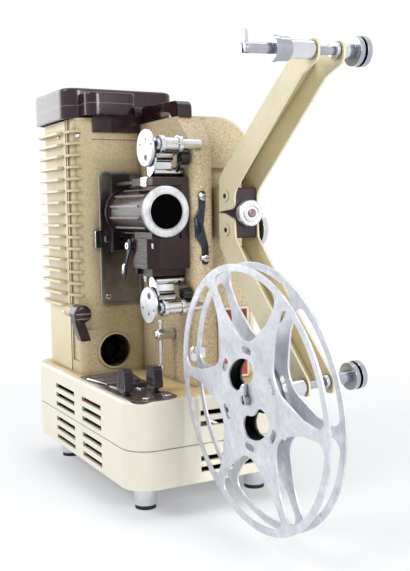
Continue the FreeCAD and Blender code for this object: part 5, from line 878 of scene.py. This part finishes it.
def make_reel():
    """Both flanges, cut by the same bodies."""
    cutters = [make_window_cutter(FIRST_WINDOW + 360.0 / WINDOWS * index) for index in range(WINDOWS)]
    for side in ("near", "far"):
        make_slim_flange("reel_%s_flange" % side, cutters)
    nothing_selected()
    for cutter in cutters:
        bpy.data.objects.remove(cutter, do_unlink=True)


# Details that the solids leave out; faces and centres in the source's millimetres

DECK_Z = 89.0
DOOR_FACE_X = -62.5
COLUMN_FACE_Y = 17.1
TRAY_FACE_Y = 9.2
WALL_FACE_X = -5.2
STRAP_FACE_Y = -89.8
SPROCKET_FACE_X = -36.5
SHOE_FACE_X = -33.2
STUD_FACE_X = -33.0
PIVOT_FACE_X = 12.2
LEVER_PIVOT = (-43.4, 200.4)
HOLDER_SCREW = (-34.7, -77.2, 201.2)
CLAMP_X, CLAMP_Z = 24.25, 225.3
DIAL_MIDDLE = (-41.5, -54.0, DECK_Z)
DIAL_TICKS = 7
TICK_STEP = 22.0


def outward(axis, steps):
    """Steps of distance and radius, counted out of a face that looks along an axis."""
    sign = -1 if axis[0] == "-" else 1
    return [(distance * sign, radius) for distance, radius in steps]


def dome(name, spot, axis, radius, body):
    """Round screw head on a face; the axis points out of it."""
    steps = outward(axis, [(-0.2, radius), (0.5, radius), (0.95, radius * 0.8), (1.2, radius * 0.45)])
    turned(name, spot, axis[-1], steps, chrome, body, sides=20)


def hole_with_shade_floor(name, spot, axis, radius, body, rim, looks=chrome):
    """Rimmed hole: a ring that stands a little proud, with a black floor in it as painted shade for the
    hole's depth.
    """
    ring = outward(axis, [(-0.15, radius + rim), (0.3, radius + rim), (0.3, radius), (0.08, radius)])
    turned(name, spot, axis[-1], ring, looks, body, sides=24)
    # Painted shade: a black disc for the dark inside of the hole.
    floor = outward(axis, [(-0.1, radius), (0.12, radius), (0.2, radius * 0.7)])
    turned(name + "_floor", spot, axis[-1], floor, soot, body, sides=20)


def make_shade_sheets():
    """Black sheets inside the right and rear walls of the base, behind the vents, as painted shade for the
    inside of the base.
    """
    slab("right_shade_sheet", (69.0, -92.0, 30.0), (69.6, 92.0, 84.0), soot, "frame", bevel=0.1)
    slab("rear_shade_sheet", (-48.0, 111.4, 30.0), (48.0, 112.0, 84.0), soot, "frame", bevel=0.1)


def make_lamp_house_details():
    """Screws of the door, column and tray, the tray's tab with a chrome strip as painted highlight on its
    left edge, and the latch's ridges, pale as painted highlights.
    """
    dome("door_screw_top", (DOOR_FACE_X, 54.5, 293.9), "-X", 2.1, "door")
    dome("door_screw_low", (DOOR_FACE_X, 55.5, 139.0), "-X", 2.0, "door")
    dome("column_screw", (-58.7, COLUMN_FACE_Y, 292.0), "-Y", 2.1, "frame")
    dome("tray_screw", (-38.0, TRAY_FACE_Y, 205.1), "-Y", 1.7, "frame")
    slab("tray_tab", (-48.8, 6.6, 197.4), (-43.4, 10.9, 211.8), soot, "frame", sunk=("-Y", 1.0, 0.5))
    # Painted highlight: a chrome strip along the tab's left edge.
    slab("tray_tab_highlight_edge", (-49.7, 6.2, 197.2), (-48.7, 10.9, 212.0), chrome, "frame", bevel=0.25)
    # Painted highlights: pale ridges across the latch.
    slab("latch_ridge", (-71.8, -2.1, 142.2), (-57.8, -1.3, 143.4), worn_and_highlight_bakelite, "latch", bevel=0.35)
    slab("latch_lower_ridge", (-71.4, -1.9, 138.3), (-58.2, -1.3, 139.1), worn_and_highlight_bakelite, "latch", bevel=0.25)


def make_gate_lever():
    """Lever that opens the gate, with its roller, pin and bright finger."""
    turned("gate_lever_roller", (-38.4, *LEVER_PIVOT), "X",
           [(0.0, 3.0), (-4.0, 3.0), (-4.4, 2.6), (-4.4, 1.3), (-3.8, 1.2)], chrome, "lens_carriage",
           sides=28)
    turned("gate_lever_bore", (-42.1, *LEVER_PIVOT), "X", [(0.0, 1.3), (-0.2, 1.3), (-0.3, 0.8)], soot,
           "lens_carriage", sides=16)
    bar("gate_lever", "Z", [
        (206.0, (-41.0, -46.0), (1.4, 3.0)), (204.4, (-41.0, -45.6), (1.4, 7.4)),
        (197.0, (-41.0, -44.0), (1.4, 8.2)), (193.6, (-41.0, -42.8), (1.4, 4.0)),
        (188.0, (-41.0, -39.6), (1.4, 2.6)), (184.0, (-41.0, -37.6), (1.4, 3.4)),
        (177.0, (-41.0, -35.4), (1.4, 4.6)), (173.8, (-41.0, -33.0), (1.4, 3.0))], blued, "lens_carriage")
    bar("gate_lever_finger", "Z", [
        (186.4, (-42.2, -37.6), (1.2, 2.2)), (184.6, (-42.6, -37.4), (2.2, 3.4)),
        (178.6, (-42.6, -35.6), (2.2, 3.4)),
        (177.0, (-42.2, -35.2), (1.2, 2.2))], chrome, "lens_carriage", bevel=0.4)
    bar("gate_lever_pin", "X", [
        (-38.2, LEVER_PIVOT, (3.0, 3.0)), (-41.6, LEVER_PIVOT, (2.4, 2.4))], chrome, "lens_carriage",
        bevel=0.4)


def make_holder_details():
    """Post, bracket, clip and screw of the lens holder, holes in its sleeve and the lens ring's lip."""
    turned("holder_post", (-27.6, -47.6, 183.3), "Z",
           [(0.0, 2.6), (-9.6, 2.6), (-10.0, 2.1), (-11.8, 2.1)], chrome, "lens_carriage", sides=24,
           bevel=0.2)
    slab("holder_bracket", (-37.0, -51.0, 177.8), (-28.8, -42.6, 183.2), soot, "lens_carriage", bevel=0.6,
         sunk=("-Y", 1.2, 0.6))
    slab("holder_clip", (-36.8, -70.8, 246.8), (-34.2, -60.0, 254.4), chrome, "lens_carriage", bevel=0.5,
         sunk=("-X", 1.6, 0.4))
    screw = turned("holder_screw", HOLDER_SCREW, "Y",
                   [(0.4, 2.9), (-0.7, 2.9), (-1.0, 2.6), (-1.0, 2.1), (-0.5, 2.0), (-0.5, 0.9)], chrome,
                   "lens_carriage", sides=24)
    turn_about(screw, HOLDER_SCREW, -45.0)
    for index, z in enumerate((231.8, 221.7)):
        hole_with_shade_floor("sleeve_hole_%d" % (index + 1), (-44.2, -71.2, z), "-X", 0.8, "lens_carriage", rim=0.2,
                  looks=soot)
    turned("ring_lip", (-26.0, -83.4, 227.4), "Y",
           [(0.2, 14.4), (-0.5, 14.4), (-0.7, 14.1), (-0.7, 13.6), (-0.4, 13.4), (1.0, 13.3)], ring_metal,
           "lens", sides=64)


def make_sprocket_details():
    """Holes and screws in both sprocket discs, marks on the shoes and bores of the roller studs."""
    for label, marks in (
            ("upper_sprocket", ((-71.0, 283.0, 0.9), (-60.6, 279.3, 0.8), (-80.2, 278.6, 0.8))),
            ("lower_sprocket", ((-70.4, 147.9, 1.0), (-59.8, 152.0, 0.8), (-79.6, 151.6, 0.8)))):
        for index, (y, z, radius) in enumerate(marks):
            spot = (SPROCKET_FACE_X, y, z)
            hole_with_shade_floor("%s_hole_%d" % (label, index + 1), spot, "-X", radius, label, rim=0.25)
    for label, y, z in (("upper_sprocket", -70.3, 269.0), ("lower_sprocket", -71.1, 162.1)):
        hole_with_shade_floor(label + "_screw", (SPROCKET_FACE_X, y, z), "-X", 1.8, label, rim=0.9, looks=steel)
    for label, z in (("upper_shoe", 260.0), ("lower_shoe", 171.0)):
        turned(label + "_mark", (SHOE_FACE_X, -63.0, z), "X", [(0.1, 2.3), (-0.2, 2.2), (-0.25, 1.6)], soot,
               label, sides=3)
    for label, z in (("upper", 278.5), ("lower", 153.5)):
        hole_with_shade_floor(label + "_stud_bore", (STUD_FACE_X, -84.2, z), "-X", 2.3, "frame", rim=1.3)


def make_wall_details():
    """Hole, screws, lug, clip and framing ball on the mechanism casting."""
    hole_with_shade_floor("wall_hole", (WALL_FACE_X, -74.7, 264.2), "-X", 1.0, "frame", rim=0.7, looks=steel)
    dome("strap_screw_top", (0.6, STRAP_FACE_Y, 239.7), "-Y", 1.9, "frame")
    dome("strap_screw_low", (1.9, STRAP_FACE_Y, 191.0), "-Y", 1.9, "frame")
    turned("framing_ball", (-20.8, -50.0, 128.0), "X",
           [(0.5, 3.2), (-0.3, 3.2), (-1.0, 2.7), (-1.6, 1.6)], chrome, "frame", sides=24)
    bar("strap_lug", "X", [
        (0.5, (-89.5, 214.0), (1.8, 7.0)), (-2.4, (-89.5, 215.0), (1.8, 12.0)),
        (-4.0, (-89.5, 217.0), (1.8, 12.0)), (-4.9, (-89.5, 218.0), (1.8, 8.0))], blued, "frame", bevel=0.4)
    bar("wall_clip", "X", [
        (3.0, (-88.4, 116.4), (1.4, 8.0)), (-5.0, (-88.6, 116.4), (1.4, 12.0)),
        (-8.0, (-88.8, 116.4), (1.4, 12.6)), (-10.4, (-88.8, 116.4), (1.4, 8.0))], chrome, "frame")


def make_arm_details():
    """Holes in the arm pivots, and the ring and screw of the clamp knob."""
    for label, y, z in (("upper", -106.8, 238.5), ("lower", -107.7, 212.7)):
        hole_with_shade_floor(label + "_pivot_hole", (PIVOT_FACE_X, y, z), "-X", 1.4, "frame", rim=0.5, looks=soot)
    turned("clamp_knob_ring", (CLAMP_X, -126.6, CLAMP_Z), "Y",
           [(0.2, 6.8), (-0.5, 6.6), (-0.5, 5.6), (0.1, 5.4)], knob_metal, "clamp", sides=40)
    turned("clamp_knob_screw", (CLAMP_X, -126.8, CLAMP_Z), "Y",
           [(0.2, 3.2), (-0.6, 3.2), (-1.0, 2.7), (-1.0, 1.2), (-0.5, 1.1)], bronzed, "clamp", sides=24)


def make_dial_details():
    """Collar and ticks of the speed dial."""
    turned("dial_collar", DIAL_MIDDLE, "Z", [(-0.1, 12.4), (0.6, 12.1), (0.6, 11.4), (0.1, 11.2)],
           worn_and_highlight_bakelite, "frame", sides=48)
    tick = slab("dial_tick_1", (-29.6, -54.4, 88.9), (-27.8, -53.8, 89.35), pale_paint, "frame", bevel=0.1)
    for index in range(1, DIAL_TICKS):
        mark = twin(tick, "dial_tick_%d" % (index + 1))
        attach(mark, "frame")
        turn_about(mark, DIAL_MIDDLE, TICK_STEP * index)


def make_control_plate_details():
    """Plain relief bars, a lever's mark, a clip, a pointer and two screws on the control plate."""
    for index, (front, rear) in enumerate(((-38.0, -30.0), (-26.0, -12.0), (-8.0, 4.0))):
        slab("plate_relief_%d" % (index + 1), (-58.0, front, 88.9), (-38.0, rear, 89.7), worn_and_highlight_bakelite,
             "frame", bevel=0.3, sunk=("Z", 1.3, 0.55))
    slab("lamp_lever_mark", (-60.2, -66.2, 88.9), (-49.0, -63.8, 89.4), pale_paint, "frame", bevel=0.2,
         sunk=("Z", 0.5, 0.3))
    bar("plate_clip", "Y", [
        (-11.6, (-67.2, 89.8), (1.6, 1.2)), (-14.0, (-66.8, 90.1), (2.4, 1.8)),
        (-38.6, (-62.0, 90.1), (2.4, 1.8)), (-41.1, (-61.4, 89.8), (1.6, 1.2))], chrome, "frame", bevel=0.4)
    bar("lever_pointer", "Y", [
        (-46.6, (-61.6, 89.5), (1.0, 0.8)), (-50.0, (-61.2, 89.5), (2.2, 1.0)),
        (-62.3, (-59.6, 89.5), (3.2, 1.0))],
        pale_paint, "frame")
    dome("dial_screw_front", (-44.9, -69.2, DECK_Z), "Z", 1.5, "frame")
    dome("dial_screw_rear", (-45.5, -66.0, DECK_Z), "Z", 1.1, "frame")


make_reel()
make_shade_sheets()
make_lamp_house_details()
make_gate_lever()
make_holder_details()
make_sprocket_details()
make_wall_details()
make_arm_details()
make_dial_details()
make_control_plate_details()


# Stage, lights and camera

FLOOR_SIDE = 12.0
# Where the floor starts and ends to fade, in metres, and its share of white at both
FADE = (0.14, 0.6, 0.3, 1.0)
LIGHTS = (
    # name, place, point aimed at, side, power
    ("key", (-1.55, 0.25, 1.35), (0, 0, 0.2), 0.7, 14.5),
    ("rear_left", (-0.75, 1.5, 0.55), (0, 0, 0.25), 1.2, 9.0),
    ("front", (0.2, -1.3, 0.62), (0, 0, 0.25), 0.5, 12.0),
    ("top", (0.3, 0.2, 1.9), (0, 0, 0.2), 1.2, 9.0),
)


def seen_rays(tree):
    """1 for the rays that show white: camera, transmission and glossy ones."""
    rays = tree.nodes.new("ShaderNodeLightPath").outputs
    seen = maths(tree, "MAXIMUM", rays["Is Camera Ray"], rays["Is Transmission Ray"])
    return maths(tree, "MAXIMUM", seen, rays["Is Glossy Ray"])


def make_floor():
    """Pale floor that keeps the shadow near the projector and fades to white further off."""
    nothing_selected()
    bpy.ops.mesh.primitive_plane_add(size=FLOOR_SIDE, location=(0, 0, 0))
    floor = bpy.context.object
    floor.name = "floor"
    made, tree, shader = material("pale_floor")
    paper = use(tree, mottle, Scale=3.0, Amount=0.2, First=(0.9, 0.92, 0.95, 1), Second=(0.87, 0.89, 0.93, 1))
    feed(tree, shader["Base Color"], paper["Color"])
    shader["Roughness"].default_value = 0.85
    white = node(tree, "ShaderNodeEmission", {"Color": (1, 1, 1, 1), "Strength": 1.0})
    far = use(tree, radial, Centre=tuple(place(0, 0, 0)), Keep=ROUND_Z)["Distance"]
    share = maths(tree, "MULTIPLY", spread(tree, far, *FADE), seen_rays(tree))
    paint = tree.nodes["Principled BSDF"].outputs[0]
    blend = node(tree, "ShaderNodeMixShader", {0: share, 1: paint, 2: white.outputs[0]})
    feed(tree, tree.nodes["Material Output"].inputs["Surface"], blend.outputs[0])
    floor.data.materials.append(made)


def make_world():
    """Soft light from all round, with a white background."""
    world = bpy.data.worlds.new("studio")
    bpy.context.scene.world = world
    world.use_nodes = True
    tree = world.node_tree
    light = tree.nodes["Background"]
    light.inputs["Color"].default_value = (0.93, 0.96, 1.0, 1)
    light.inputs["Strength"].default_value = 0.42
    shown = node(tree, "ShaderNodeBackground", {"Color": (1, 1, 1, 1), "Strength": 1.0})
    blend = node(tree, "ShaderNodeMixShader", {0: seen_rays(tree), 1: light.outputs[0], 2: shown.outputs[0]})
    feed(tree, tree.nodes["World Output"].inputs["Surface"], blend.outputs[0])


def make_light(name, spot, target, side, power):
    """A soft square light aimed at a point."""
    lamp = bpy.data.lights.new(name, "AREA")
    lamp.shape = "SQUARE"
    lamp.size = side
    lamp.energy = power
    holder = bpy.data.objects.new(name, lamp)
    bpy.context.scene.collection.objects.link(holder)
    holder.location = spot
    holder.rotation_euler = (Vector(target) - Vector(spot)).to_track_quat("-Z", "Y").to_euler()


def make_camera():
    yaw, pitch, roll = (math.radians(a) for a in (CAMERA_YAW, CAMERA_PITCH, CAMERA_ROLL))
    back = Vector((math.sin(yaw) * math.cos(pitch), -math.cos(yaw) * math.cos(pitch), math.sin(pitch)))
    level = (-back).cross(Vector((0, 0, 1))).normalized()
    upright = level.cross(-back)
    right = level * math.cos(roll) + upright * math.sin(roll)
    up = upright * math.cos(roll) - level * math.sin(roll)
    data = bpy.data.cameras.new("photo_camera")
    data.lens = CAMERA_LENS
    data.sensor_width = CAMERA_SENSOR
    data.sensor_fit = "AUTO"
    camera = bpy.data.objects.new("photo_camera", data)
    bpy.context.scene.collection.objects.link(camera)
    turn = Matrix((right, up, back)).transposed().to_4x4()
    camera.matrix_world = Matrix.Translation(place(*CAMERA_SPOT)) @ turn
    bpy.context.scene.camera = camera


make_floor()
make_world()
for light in LIGHTS:
    make_light(*light)
make_camera()
bpy.context.scene.view_settings.view_transform = "Standard"
